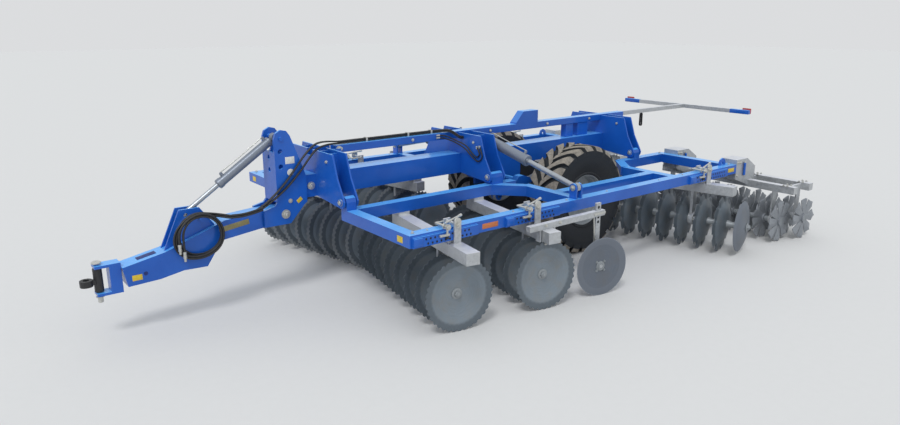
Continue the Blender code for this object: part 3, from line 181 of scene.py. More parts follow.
# name, body, the barrel's eye, the rod's eye, the barrel's radius and length, the rod's radius and
# where it is bare, the side on which the pipe lies and that on which the ports lie
CYLINDERS = (
    ("draw", "draw_barrel", (0.36, 0, 1.445), (1.175, 0, 0.902), 0.038, 0.62, 0.020, 0.402,
     (0, -1, 0), (0.3, 0, 1)),
    ("lift", "lift_barrel", (-3.25, 0, 0.80), (-2.20, 0, 0.54), 0.042, 0.62, 0.022, 0.362,
     (0, 1, 0), (0, 0, -1)),
    ("fold_left", "fold_barrel_left", (FOLD_X, 0.16, 1.245), (FOLD_X, OUTER_LINE, FOLD_PIN_Z),
     0.05, 0.668, 0.025, 0.657, (-1, 0, 0), (-0.4, 0, 1)),
    ("fold_right", "fold_barrel_right", (FOLD_X, -0.16, 1.245), (FOLD_X, -OUTER_LINE, FOLD_PIN_Z),
     0.05, 0.668, 0.025, 0.657, (-1, 0, 0), (-0.4, 0, 1)),
)

# Hoses
HOSE = 0.018
COIL_CENTRE = Vector((1.10, 0.135, 0.745))
COIL_R = 0.165
# lanes lie one hose beside the other: the one at the centre's Y, the first and the last
COIL_LANE = 2.145
COIL_LANES = (1.0, 4.4)
COIL_LANE_POWER = 1.5
COIL_START = radians(105)
COIL_TURN = radians(825)
COIL_STEPS = 120
HOSE_STEP = 0.008
# the last stretch, on which each hose leaves the coil for its coupler
COIL_SPREAD = radians(70)
# how far the loops sag, and the two sides on which they do
COIL_SAG = 0.05
COIL_SAG_FRONT = radians(-30)
COIL_SAG_BACK = radians(210)
# name, distance off the coil's middle radius, and X and Z of the coupler's upper end
COIL_HOSES = (("hose_inner", -0.009, 1.250, 0.6406), ("hose_outer", 0.009, 1.283, 0.7059))
# from the side of the mast to the coil
LEAD_POINTS = (
    (0.58, 0.184, 0.885), (0.68, 0.179, 0.866), (0.77, 0.168, 0.856), (0.87, 0.146, 0.858),
    (0.9553, 0.1145, 0.8817),
)
# from the drawbar over the rail to the fold cylinder
RUN_ROUTE = (
    (0.62, 0.1415, 0.86), (0.50, 0.1415, 0.925), (0.36, 0.1415, 1.03), (0.24, 0.1415, 1.15),
    (0.13, 0.1415, 1.275), (0.03, 0.122, 1.345), (-0.10, 0.072, 1.354), (-0.25, 0.025, 1.341),
    (-0.42, 0.0, 1.3370), (-0.80, 0.0, 1.3363), (-1.15, 0.0, 1.3363), (-1.38, 0.012, 1.3363),
    (-1.48, 0.072, 1.338), (-1.54, 0.122, 1.295), (-1.575, 0.135, 1.270), (-1.6082, 0.135, 1.270),
)
RUN_HOSE = 0.014
RUN_GAP = 0.0006
RUN_STEP = 0.015
DROOP_STEP = 0.010
FITTING_R = 0.0095
# the two hoses that droop from the rail's side to the middle portal's front face
DROOP_ROUTES = (
    ((-1.36, 0.0575, 1.275), (-1.44, 0.066, 1.262), (-1.52, 0.11, 1.225), (-1.58, 0.20, 1.165),
     (-1.598, 0.29, 1.095), (-1.599, 0.385, 1.058), (-1.599, 0.445, 1.110), (-1.599, 0.425, 1.175),
     (-1.599, 0.405, 1.206)),
    ((-1.36, 0.0575, 1.300), (-1.44, 0.068, 1.290), (-1.52, 0.125, 1.245), (-1.585, 0.215, 1.195),
     (-1.599, 0.29, 1.130), (-1.599, 0.36, 1.098), (-1.599, 0.405, 1.130), (-1.599, 0.390, 1.165),
     (-1.599, 0.365, 1.196)),
)
# the four hoses lie close behind this X, and fan out so much before it
BUNDLE_TIED_X = -0.30
BUNDLE_FAN = 2.6
COUPLER_Y = 0.1756
# radius and distance from the hose's end
COUPLER_PROFILE = (
    (0, 0), (0.0125, 0), (0.0145, 0.004), (0.0145, 0.020), (0.012, 0.022), (0.012, 0.026),
    (0.0145, 0.028), (0.0145, 0.055), (0.0105, 0.059), (0.0105, 0.080), (0.006, 0.080), (0.006, 0.070),
    (0, 0.070),
)
# the light bar's spare cable and the folds of its hank
CABLE = 0.006
CABLE_X = -4.65
CABLE_TOP = 1.2697
CABLE_DROP = 0.17
CABLE_FOLD_R = 0.0195
CABLE_LOOPS = 4
CABLE_PITCH = 0.0065
CABLE_STEP = 0.003
ARC_POINTS = 14


def moved_in(place):
    """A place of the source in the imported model's frame."""
    return Vector(place) + X_AXIS * MODEL_SHIFT


def make_camera():
    """The camera at the photograph's place, angle and lens."""
    data = bpy.data.cameras.new("portrait_camera")
    data.sensor_width = CAMERA_SENSOR
    data.lens = CAMERA_LENS
    camera = bpy.data.objects.new("portrait_camera", data)
    bpy.context.scene.collection.objects.link(camera)
    level = cos(CAMERA_DIP)
    forward = Vector((-sin(CAMERA_TURN) * level, cos(CAMERA_TURN) * level, -sin(CAMERA_DIP)))
    camera.location = CAMERA_PLACE
    camera.rotation_euler = forward.to_track_quat("-Z", "Y").to_euler()
    bpy.context.scene.camera = camera


# Materials


class Look:
    """A procedural material on object coordinates."""

    def __init__(self, name, colour, roughness, metallic=0.0):
        self.material = bpy.data.materials.new(name)
        self.material.use_nodes = True
        self.tree = self.material.node_tree
        self.shader = self.tree.nodes["Principled BSDF"]
        self.set("Base Color", (*colour, 1))
        self.set("Roughness", roughness)
        self.set("Metallic", metallic)
        self.place = self.new("ShaderNodeTexCoord").outputs["Object"]

    def new(self, kind, **values):
        """A node with inputs, in capitals, and properties set."""
        made = self.tree.nodes.new(kind)
        for key, value in values.items():
            if key[0].isupper():
                made.inputs[key.replace("_", " ")].default_value = value
            else:
                setattr(made, key, value)
        return made

    def set(self, socket, value):
        """A value on one of the shader's own sockets."""
        self.shader.inputs[socket].default_value = value

    def link(self, output, target):
        """A link between two sockets."""
        self.tree.links.new(output, target)

    def through(self, kind, source, output, **values):
        """What a node makes of what goes into its first input."""
        made = self.new(kind, **values)
        self.link(source, made.inputs[0])
        return made.outputs[output]

    def stretched(self, scale, place=None):
        """Coordinates scaled along each axis."""
        return self.through("ShaderNodeMapping", place or self.place, "Vector", Scale=scale)

    def noise(self, scale, detail=4.0, roughness=0.55, place=None):
        """Soft noise from 0 to 1."""
        return self.through("ShaderNodeTexNoise", place or self.place, "Fac", Scale=scale, Detail=detail,
                            Roughness=roughness)

    def cells(self, scale):
        """A random grey for each cell."""
        colour = self.through("ShaderNodeTexVoronoi", self.place, "Color", Scale=scale)
        return self.through("ShaderNodeSeparateColor", colour, "Red")

    def ramp(self, value, low, high, start=0.0, end=1.0):
        """A value spread from low to high as the input goes from start to end."""
        return self.through("ShaderNodeMapRange", value, "Result", From_Min=start, From_Max=end,
                            To_Min=low, To_Max=high)

    def times(self, first, second):
        """The product of two values."""
        made = self.new("ShaderNodeMath", operation="MULTIPLY")
        self.link(first, made.inputs[0])
        self.link(second, made.inputs[1])
        return made.outputs["Value"]

    def facing_up(self, start, end):
        """1 on faces that look up, 0 on the others."""
        normal = self.new("ShaderNodeNewGeometry").outputs["Normal"]
        return self.ramp(self.through("ShaderNodeSeparateXYZ", normal, "Z"), 0.0, 1.0, start, end)

    def mixed(self, share, first, second):
        """A colour between two, each a colour or a socket."""
        made = self.new("ShaderNodeMix", data_type="RGBA")
        self.link(share, made.inputs["Factor"])
        for socket, colour in ((made.inputs[6], first), (made.inputs[7], second)):
            if isinstance(colour, tuple):
                socket.default_value = (*colour, 1)
            else:
                self.link(colour, socket)
        return made.outputs[2]

    def colour(self, output):
        """Link the shader's colour."""
        self.link(output, self.shader.inputs["Base Color"])

    def rough(self, value, low, high, start=0.25, end=0.75):
        """Roughness that varies with a value."""
        self.link(self.ramp(value, low, high, start, end), self.shader.inputs["Roughness"])

    def bump(self, height, distance, strength=1.0):
        """A bump from a height value."""
        made = self.new("ShaderNodeBump", Distance=distance, Strength=strength)
        self.link(height, made.inputs["Height"])
        self.link(made.outputs["Normal"], self.shader.inputs["Normal"])

    def grain(self, value, colours, spread, roughness, bump):
        """Two colours, uneven roughness and a fine bump from one value."""
        self.colour(self.mixed(self.ramp(value, 0.0, *spread), *colours))
        self.rough(value, *roughness)
        self.bump(value, *bump)
        return self.material


def paint(name, colour, dusty, light):
    """Gloss paint with fine orange peel and a painted sky highlight: top faces patchily lighter and bluer.
    """
    look = Look(name, colour, 0.34)
    broad = look.noise(2.3, 3.0)
    fine = look.noise(38.0, 5.0, 0.6)
    shade = look.mixed(look.ramp(broad, 0.0, 1.0, 0.35, 0.65), colour, light)
    # painted sky highlight: faces that look up are mixed, in patches, towards the highlight colour
    up = look.facing_up(0.55, 0.98)
    top_highlight_share = look.times(up, look.ramp(fine, 0.72, 0.97, 0.35, 0.75))
    look.colour(look.mixed(top_highlight_share, shade, dusty))
    look.rough(fine, 0.26, 0.46)
    look.bump(look.noise(260.0, 2.0), 0.0004, 0.35)
    look.set("Specular IOR Level", 0.3)
    look.set("Coat Weight", 0.45)
    look.set("Coat Roughness", 0.12)
    return look.material


def galvanised():
    """Hot-dip zinc with its spangle, streaks and white bloom, and a painted highlight on faces that look
    up.
    """
    look = Look("zinc_coat", (0.42, 0.44, 0.46), 0.42, 0.55)
    spangle = look.cells(62.0)
    bloom = look.noise(7.0, 6.0, 0.65)
    base = look.mixed(look.ramp(spangle, 0.0, 1.0), (0.40, 0.42, 0.44), (0.50, 0.52, 0.545))
    bloomed = look.mixed(look.ramp(bloom, 0.0, 0.55, 0.42, 0.8), base, (0.58, 0.58, 0.57))
    # painted highlight: faces that look up turn pale, in patches
    lit = look.times(look.facing_up(0.6, 0.98), look.ramp(bloom, 0.55, 0.95, 0.3, 0.7))
    look.colour(look.mixed(lit, bloomed, (0.74, 0.75, 0.80)))
    look.rough(spangle, 0.34, 0.56, 0.0, 1.0)
    look.bump(look.noise(90.0, 4.0), 0.0005, 0.4)
    return look.material


def disc_steel(name, base, bright, warm, band, tip):
    """Hard rolled steel: a ground edge band, turned lines, mill scale and handling marks."""
    look = Look(name, base, 0.42, 0.25)
    turned = look.new("ShaderNodeUVMap", uv_map="turned").outputs["UV"]
    edge = look.new("ShaderNodeMath", operation="PINGPONG")
    edge.inputs[1].default_value = 0.5
    look.link(look.through("ShaderNodeSeparateXYZ", turned, "Y"), edge.inputs[0])
    ground = look.ramp(edge.outputs["Value"], 0.0, 1.0, 0.335, 0.365)
    lines = look.noise(4.0, 5.0, 0.6, look.stretched((3.0, 46.0, 1.0), turned))
    patches = look.noise(9.0, 5.0, 0.62)
    body = look.mixed(look.ramp(lines, 0.0, 1.0, 0.3, 0.7), base, bright)
    stained = look.mixed(look.ramp(patches, 0.0, 0.6, 0.46, 0.74), body, warm)
    edged = look.mixed(ground, stained, band)
    at_tip = look.ramp(edge.outputs["Value"], 0.0, 1.0, 0.446, 0.456)
    look.colour(look.mixed(at_tip, edged, tip))
    look.rough(lines, 0.28, 0.46)
    tangent = look.new("ShaderNodeTangent", direction_type="UV_MAP", uv_map="turned")
    look.link(tangent.outputs["Tangent"], look.shader.inputs["Tangent"])
    look.set("Anisotropic", 0.65)
    look.bump(lines, 0.0006, 0.35)
    return look.material


def brushed(name, colour, roughness, metallic):
    """Machined or silver painted metal with fine marks."""
    look = Look(name, colour, roughness, metallic)
    fine = look.noise(120.0, 4.0, 0.6, look.stretched((1.0, 1.0, 0.3)))
    dark = tuple(value * 0.82 for value in colour)
    uneven = (roughness * 0.8, roughness * 1.35)
    return look.grain(fine, (colour, dark), (1.0, 0.35, 0.7), uneven, (0.0002, 0.3))


def tread_rubber():
    """Tyre rubber, black in its grooves, brown with dust on what touches the road."""
    look = Look("tread_rubber", (0.027, 0.028, 0.030), 0.85)
    worn = look.new("ShaderNodeVertexColor", layer_name="dust").outputs["Color"]
    cloud = look.ramp(look.noise(26.0, 6.0, 0.65), 0.45, 1.0, 0.3, 0.62)
    share = look.times(look.through("ShaderNodeSeparateColor", worn, "Red"), cloud)
    grain = look.noise(210.0, 4.0, 0.65)
    black = look.mixed(grain, (0.015, 0.018, 0.022), (0.030, 0.034, 0.040))
    look.colour(look.mixed(share, black, (0.33, 0.295, 0.25)))
    look.rough(grain, 0.72, 0.94)
    look.bump(grain, 0.0008, 0.6)
    look.set("Specular IOR Level", 0.3)
    return look.material


def rubber(name, colour, ring_scale):
    """Hose rubber with a cloth wrap's faint texture and dust."""
    look = Look(name, colour, 0.5)
    grain = look.noise(ring_scale, 5.0, 0.6)
    pale = tuple(value * 2.6 + 0.01 for value in colour)
    return look.grain(grain, (colour, pale), (0.8, 0.4, 0.75), (0.38, 0.66), (0.0003, 0.45))


def enamel(name, colour, roughness=0.32):
    """A small painted or moulded piece, faintly uneven."""
    look = Look(name, colour, roughness)
    grain = look.noise(55.0, 5.0, 0.6)
    dark = tuple(value * 0.72 for value in colour)
    uneven = (roughness * 0.75, roughness * 1.4)
    return look.grain(grain, (colour, dark), (0.9, 0.4, 0.75), uneven, (0.0002, 0.3))


def red_lens():
    """Red lamp plastic with fine ribs."""
    look = Look("lamp_lens", (0.42, 0.018, 0.012), 0.18)
    ribs = look.through("ShaderNodeTexWave", look.place, "Fac", bands_direction="Y", Scale=55.0)
    look.colour(look.mixed(ribs, (0.30, 0.010, 0.008), (0.50, 0.030, 0.020)))
    look.rough(ribs, 0.12, 0.26)
    look.bump(ribs, 0.0012, 0.6)
    look.set("Coat Weight", 0.6)
    look.set("Coat Roughness", 0.08)
    return look.material


def paper_floor():
    """A pale even floor that keeps the harrow's shadow."""
    shade = (FLOOR_SHADE,) * 3
    darker = (FLOOR_SHADE * 0.985,) * 3
    look = Look("pale_floor", shade, 0.9)
    grain = look.noise(14.0, 6.0, 0.6)
    look.colour(look.mixed(look.ramp(grain, 0.0, 1.0, 0.3, 0.7), darker, shade))
    look.set("Specular IOR Level", 0.0)
    return look.material


# the second colour is a painted sky highlight for faces that look up
BLUE = paint("gloss_blue", (0.006, 0.090, 0.45), (0.110, 0.440, 0.95), (0.010, 0.112, 0.52))
ZINC = galvanised()
STEEL = disc_steel("rolled_steel", (0.160, 0.195, 0.230), (0.220, 0.260, 0.300), (0.215, 0.208, 0.195),
                   (0.112, 0.136, 0.160), (0.250, 0.270, 0.290))
PALE_STEEL = disc_steel("plain_steel", (0.108, 0.130, 0.165), (0.145, 0.165, 0.200), (0.135, 0.140, 0.150),
                        (0.145, 0.165, 0.200), (0.200, 0.225, 0.260))
STAR_STEEL = brushed("star_steel", (0.285, 0.305, 0.335), 0.42, 0.4)
CHROME = brushed("hard_chrome", (0.42, 0.45, 0.49), 0.36, 0.75)
SILVER = brushed("silver_paint", (0.215, 0.245, 0.300), 0.33, 0.35)
BOLT = brushed("zinc_bolt", (0.60, 0.60, 0.57), 0.30, 0.75)
RIM = brushed("rim_paint", (0.30, 0.325, 0.345), 0.45, 0.35)
TREAD = tread_rubber()
HOSE_RUBBER = rubber("hose_wrap", (0.012, 0.012, 0.013), 95.0)
CABLE_RUBBER = rubber("cable_sheath", (0.016, 0.015, 0.015), 150.0)
IRON = enamel("black_enamel", (0.022, 0.022, 0.024), 0.45)
# painted shade: near-black discs that stand for the dark seen through holes
HOLE_SHADE = enamel("painted_hole_shade", (0.008, 0.010, 0.018), 0.7)
YELLOW = enamel("yellow_plate", (0.70, 0.50, 0.04))
ORANGE = enamel("orange_plate", (0.55, 0.17, 0.06))
OLIVE = enamel("olive_plate", (0.27, 0.235, 0.11))
WHITE = enamel("white_plate", (0.74, 0.74, 0.72))
# painted shade: a darker blue that stands for the shade in the drawbar's recess and side hole
RECESS_SHADE = enamel("painted_recess_shade", (0.004, 0.020, 0.16), 0.5)
RED = red_lens()


# Building helpers


def piece(name, data, look, body, replaces=()):
    """An object of the scene, from a mesh or a curve, that rides on a body."""
    made = bpy.data.objects.new(name, data)
    bpy.context.scene.collection.objects.link(made)
    data.materials.append(look)
    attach(made, body)
    if replaces:
        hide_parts(*replaces)
    return made


def finished(name, shape, mirrored=False):
    """A mesh from a shape, moved in, with smooth faces and sharp edges."""
    mesh = bpy.data.meshes.new(name)
    shape.to_mesh(mesh)
    mesh.transform(Matrix.Translation(X_AXIS * MODEL_SHIFT))
    if mirrored:
        mesh.transform(MIRROR)
        mesh.flip_normals()
    mesh.shade_smooth()
    mesh.set_sharp_from_angle(angle=SHARP_ANGLE)
    return mesh


def both(name, shape, look, body, replaces=()):
    """A left piece from a shape, and its mirror image on the right."""
    for side in ("_left", "_right"):
        mesh = finished(name + side, shape, side == "_right")
        piece(name + side, mesh, look, body + side, [old + side for old in replaces])
    shape.free()


def single(name, shape, look, body, replaces=()):
    """One piece from a shape."""
    mesh = finished(name, shape)
    shape.free()
    return piece(name, mesh, look, body, replaces)


def axes_along(start, end, hint=Z_AXIS):
    """A matrix whose Z runs from start to end and whose origin is at start."""
    along = (Vector(end) - Vector(start)).normalized()
    if abs(along.dot(hint)) > 0.99:
        hint = X_AXIS
    side = hint.cross(along).normalized()
    rise = along.cross(side)
    turn = Matrix((side, rise, along)).transposed().to_4x4()
    turn.translation = Vector(start)
    return turn


def facing(start, axis):
    """A matrix whose origin is at start and whose Z looks along an axis."""
    return axes_along(start, Vector(start) + Vector(axis))


def around(radius, angle, height=0.0):
    """A place round the Z axis."""
    return Vector((radius * cos(angle), radius * sin(angle), height))


def add_box(shape, low, high, bevel=0.003, place=None):
    """A box between two corners with worn edges."""
    low = Vector(low)
    high = Vector(high)
    size = high - low
    matrix = Matrix.Translation((low + high) / 2) @ Matrix.Diagonal((*size, 1))
    if place:
        matrix = place @ matrix
    made = bmesh.ops.create_cube(shape, size=1, matrix=matrix)["verts"]
    edges = list(dict.fromkeys(edge for vertex in made for edge in vertex.link_edges))
    width = min(bevel, min(size) * 0.3)
    bmesh.ops.bevel(shape, geom=edges, offset=width, segments=2, affect="EDGES", profile=0.5)


def add_turned(shape, profile, place, sides=24):
    """A solid turned about Z from (radius, height) pairs, then placed."""
    rings = []
    for radius, height in profile:
        if radius < 1e-6:
            rings.append([shape.verts.new(place @ Vector((0, 0, height)))])
            continue
        places = [place @ around(radius, 2 * pi * k / sides, height) for k in range(sides)]
        rings.append([shape.verts.new(spot) for spot in places])
    for low, high in zip(rings, rings[1:]):
        if len(low) == 1 and len(high) == 1:
            continue
        for k in range(sides):
            after = (k + 1) % sides
            if len(low) == 1:
                shape.faces.new((low[0], high[after], high[k]))
            elif len(high) == 1:
                shape.faces.new((low[k], low[after], high[0]))
            else:
                shape.faces.new((low[k], low[after], high[after], high[k]))


def add_rod(shape, start, end, radius, sides=20, edge=0.0015):
    """A round bar with broken edges."""
    length = (Vector(end) - Vector(start)).length
    edge = min(edge, radius * 0.4, length * 0.3)
    profile = ((0, 0), (radius - edge, 0), (radius, edge), (radius, length - edge),
               (radius - edge, length), (0, length))
    add_turned(shape, profile, axes_along(start, end), sides)


def add_bolt(shape, start, axis, size=0.024, height=0.010, washer=True):
    """A hexagon head or nut with a washer, standing on a face."""
    axis = Vector(axis).normalized()
    place = facing(start, axis)
    base = 0.0
    if washer:
        base = size * 0.12
        add_turned(shape, ((0, 0), (size * 0.72, 0), (size * 0.72, base), (0, base)), place, 20)
    radius = size * 0.56
    chamfer = height * 0.18
    add_turned(shape, ((0, base), (radius, base), (radius, base + height - chamfer),
                       (radius * 0.86, base + height), (0, base + height)), place, 6)
    stud = size * 0.28
    add_turned(shape, ((stud, base + height), (stud, base + height * 1.3),
                       (stud * 0.8, base + height * 1.4), (0, base + height * 1.4)), place, 12)


def smooth_line(points, steps=8):
    """A smooth line through points, by Catmull and Rom."""
    points = [Vector(point) for point in points]
    line = []
    padded = [points[0] * 2 - points[1]] + points + [points[-1] * 2 - points[-2]]
    for k in range(1, len(padded) - 2):
        a, b, c, d = padded[k - 1:k + 3]
        for step in range(steps):
            t = step / steps
            line.append(0.5 * ((2 * b) + (c - a) * t + (2 * a - 5 * b + 4 * c - d) * t * t
                               + (3 * b - a - 3 * c + d) * t ** 3))
    line.append(points[-1])
    return line


def even_line(points, spacing):
    """The same line with points an even distance apart."""
    reach = [0.0]
    for first, second in zip(points, points[1:]):
        reach.append(reach[-1] + (second - first).length)
    count = max(2, round(reach[-1] / spacing))
    line = []
    k = 0
    for step in range(count + 1):
        goal = reach[-1] * step / count
        while k < len(reach) - 2 and reach[k + 1] < goal:
            k += 1
        span = reach[k + 1] - reach[k]
        share = (goal - reach[k]) / span if span else 0
        line.append(points[k].lerp(points[k + 1], min(1, max(0, share))))
    return line


def tube_curve(name, points, diameter, look, body, replaces=()):
    """A round tube on one open spline, in the model's own frame."""
    curve = bpy.data.curves.new(name, "CURVE")
    curve.dimensions = "3D"
    spline = curve.splines.new("POLY")
    spline.points.add(len(points) - 1)
    for target, point in zip(spline.points, points):
        target.co = (*point, 1)
    spline.use_smooth = True
    curve.bevel_depth = diameter / 2
    curve.bevel_resolution = 4
    curve.use_fill_caps = True
    return piece(name, curve, look, body, replaces)


# Cords


def coil_hose(offset, coupler_x, coupler_top):
    """One hose from the side of the mast round the coil and down to its coupler."""
    rise = Vector((0, 0, offset))
    radius = COIL_R + offset
    points = smooth_line([Vector(point) + rise for point in LEAD_POINTS[:-1]], 6)[:-1]
    ring = []
    first, last = COIL_LANES
    for step in range(COIL_STEPS + 1):
        share = step / COIL_STEPS
        angle = COIL_START - COIL_TURN * share
        left = COIL_TURN - COIL_TURN * share
        out = 0.0
        if left < COIL_SPREAD:
            ease = 1 - left / COIL_SPREAD
            out = (coupler_x - COIL_CENTRE.x - radius) * ease * ease * (3 - 2 * ease)
        lane = first + (last - first) * share ** COIL_LANE_POWER
        front = max(0, cos(angle - COIL_SAG_FRONT)) ** 2
        back = max(0, cos(angle - COIL_SAG_BACK)) ** 2
        reach = radius + out + COIL_SAG * (front + 0.5 * back) * sin(pi * share) ** 2
        ring.append(Vector((COIL_CENTRE.x + reach * cos(angle), COIL_CENTRE.y + (lane - COIL_LANE) * HOSE,
                            COIL_CENTRE.z + reach * sin(angle))))
    joined = smooth_line([points[-2], points[-1], Vector(LEAD_POINTS[-1]) + rise, ring[0], ring[2]])
    points = points[:-2] + joined[:-9] + ring[1:] + [Vector((coupler_x, COUPLER_Y, coupler_top))]
    return [moved_in(point) for point in even_line(points, HOSE_STEP)]


def lamp_hank():
    """The light bar's spare cable, folded into a hank under the bar."""
    high = CABLE_TOP - CABLE / 2 - CABLE_FOLD_R
    low = CABLE_TOP - CABLE_DROP + CABLE / 2 + CABLE_FOLD_R
    y = -CABLE_PITCH * CABLE_LOOPS / 2
    turn = 2 * (high - low) + 2 * pi * CABLE_FOLD_R
    flat = []
    for loop in range(CABLE_LOOPS):
        flat.append((-CABLE_FOLD_R, high))
        bend = [around(CABLE_FOLD_R, pi * step / ARC_POINTS) for step in range(ARC_POINTS + 1)]
        flat += [(-spot.x, low - spot.y) for spot in bend]
        if loop < CABLE_LOOPS - 1:
            flat += [(spot.x, high + spot.y) for spot in bend[:-1]]
    flat.append((CABLE_FOLD_R, CABLE_TOP))
    before = (-CABLE_FOLD_R, CABLE_TOP)
    points = [Vector((CABLE_X - CABLE_FOLD_R, y, CABLE_TOP))]
    travelled = 0.0
    for x, z in flat:
        travelled += sqrt((x - before[0]) ** 2 + (z - before[1]) ** 2)
        before = (x, z)
        points.append(Vector((CABLE_X + x, y + CABLE_PITCH * travelled / turn, z)))
    return [moved_in(point) for point in even_line(points, CABLE_STEP)]


def make_cords():
    """The two hoses of the coil with their couplers, and the lamp cable."""
    for k, (name, offset, coupler_x, coupler_top) in enumerate(COIL_HOSES):
        line = coil_hose(offset, coupler_x, coupler_top)
        replaced = ("hose_lead", "hose_coil") if k == 0 else ()
        hose = tube_curve(name, line, HOSE, HOSE_RUBBER, "drawbar", replaced)
        shape = bmesh.new()
        place = Matrix.Translation((coupler_x, COUPLER_Y, coupler_top)) @ Matrix.Rotation(pi, 4, "X")
        add_turned(shape, COUPLER_PROFILE, place, 28)
        coupler = single(name + "_coupler", shape, BOLT, "drawbar",
                         ("hose_coupler_" + str(k + 1),))
    line = lamp_hank()
    cable = tube_curve("lamp_cable_hank", line, CABLE, CABLE_RUBBER, "chassis",
                       ("lamp_cable",))


def hose_bundle():
    """Four hoses in a bundle from the drawbar over the rail to the fold cylinder."""
    line = even_line(smooth_line(RUN_ROUTE, 10), RUN_STEP)
    half = RUN_HOSE / 2 + RUN_GAP
    for number, (across, above) in enumerate(((-half, -half), (half, -half), (-half, half), (half, half))):
        points = []
        for k, point in enumerate(line):
            along = (line[min(k + 1, len(line) - 1)] - line[max(k - 1, 0)]).normalized()
            side = Vector((-along.y, along.x, 0))
            side = side.normalized() if side.length > 0.2 else Y_AXIS
            rise = along.cross(side) * -1
            if rise.z < 0:
                rise = rise * -1
            fan = 1.0
            if point.x > BUNDLE_TIED_X:
                share = (point.x - BUNDLE_TIED_X) / (RUN_ROUTE[0][0] - BUNDLE_TIED_X)
                fan += BUNDLE_FAN * sin(pi * share) ** 2
            outwards = side * across + Y_AXIS * half * (fan - 1) * (0.4 if number % 2 else 0.1)
            points.append(moved_in(point + outwards + rise * above * fan))
        replaced = ("hose_run",) if number == 0 else ()
        tube_curve("held_hose_" + str(number + 1), points, RUN_HOSE, HOSE_RUBBER, "chassis",
                   replaced)


def droop_hoses():
    """Two hoses that droop in front of the middle portal, with their end fittings."""
    shape = bmesh.new()
    for number, route in enumerate(DROOP_ROUTES):
        line = [moved_in(point) for point in even_line(smooth_line(route), DROOP_STEP)]
        tube_curve("droop_hose_" + str(number + 1), line, RUN_HOSE, HOSE_RUBBER, "chassis")
        first = Vector(route[0])
        last = Vector(route[-1])
        add_rod(shape, first + X_AXIS * 0.028, first - X_AXIS * 0.012, FITTING_R, 20)
        add_rod(shape, last - Z_AXIS * 0.016, last + Z_AXIS * 0.010, FITTING_R, 20)
        root = Vector((PORTAL_FACES[1][0] - 0.001, last.y, last.z + 0.004))
        add_rod(shape, root, root + X_AXIS * 0.020, 0.0085, 20)
    single("droop_fittings", shape, BOLT, "chassis")


# Discs


def rim_radius(angle, radius, rim):
    """The rim's radius at an angle, with round notches."""
    notches, depth, share, _ = rim
    if not notches:
        return radius
    place = (angle / (2 * pi) * notches) % 1.0
    off = abs(place - 0.5) / (share / 2)
    if off >= 1:
        return radius
    return radius - depth * sqrt(1 - off * off)


def band_rise(part, notches):
    """The dish's share near the rim: a flat band on notched discs, a bowl on plain ones."""
    if not notches:
        return part * part
    return BAND_RISE + (1 - BAND_RISE) * (part - BAND_START) / (1 - BAND_START)


def disc_shape():
    """An empty shape and the UV layer that the disc steel's turned lines follow."""
    shape = bmesh.new()
    return shape, shape.loops.layers.uv.new("turned")


def add_disc(shape, uv, place, radius, dish, rim):
    """A dished disc with a ground edge: Z is its axis, its hub at 0, its rim at the dish."""
    notches, _, _, steps = rim
    # share of the radius, share of the dish
    section = ((SPOOL_R / DISC_R, 0.0), (0.30, 0.035), (0.45, 0.15), (0.58, 0.34), (0.69, 0.58),
               (BAND_START - 0.012, 0.755), (BAND_START, BAND_RISE))
    ground = GROUND_START
    if not notches:
        section = [(part, part * part) for part, _ in section]
        ground = PLAIN_GROUND_START
    half = DISC_THICK / 2
    # share of the radius, height, and whether the notches cut it
    loops = [(part, dish * rise, False) for part, rise in section]
    for part, grow in ((ground, -half * 0.8), (1.0, -TIP_HALF), (1.0, TIP_HALF), (ground, half * 0.8)):
        loops.append((part, dish * band_rise(part, notches) + half + grow, True))
    loops += [(part, dish * rise + DISC_THICK, False) for part, rise in reversed(section)]
    rings = []
    for part, height, cut in loops:
        ring = []
        for k in range(steps):
            angle = 2 * pi * k / steps
            reach = part * (rim_radius(angle, radius, rim) if cut else radius)
            ring.append(shape.verts.new(place @ around(reach, angle, height)))
        rings.append(ring)
    for index, (low, high) in enumerate(zip(rings, rings[1:])):
        inner = index / len(loops)
        outer = (index + 1) / len(loops)
        for k in range(steps):
            after = (k + 1) % steps
            face = shape.faces.new((low[after], low[k], high[k], high[after]))
            start = k / steps
            end = (k + 1) / steps
            corners = ((end, inner), (start, inner), (start, outer), (end, outer))
            for loop, corner in zip(face.loops, corners):
                loop[uv].uv = corner


class Gang:
    """A gang's own axis: distances run inwards from its outer disc."""

    def __init__(self, row):
        self.name, x, y, inner_y, degrees, self.count, self.rear = row
        turn = radians(degrees)
        self.dish = -DISC_DISH if degrees > 0 else DISC_DISH
        self.along = Vector((-sin(turn), -cos(turn), 0))
        self.across = Vector((self.along.y, -self.along.x, 0))
        self.start = Vector((x, y, DISC_R))
        self.gap = self.reach(inner_y) / (self.count - 1)

    def at(self, distance, height=None):
        """A place on the gang's axis, or over it."""
        place = self.start + self.along * distance
        if height is not None:
            place.z = height
        return place

    def reach(self, y):
        """The distance along the gang of a line at Y."""
        return (y - self.start.y) / self.along.y


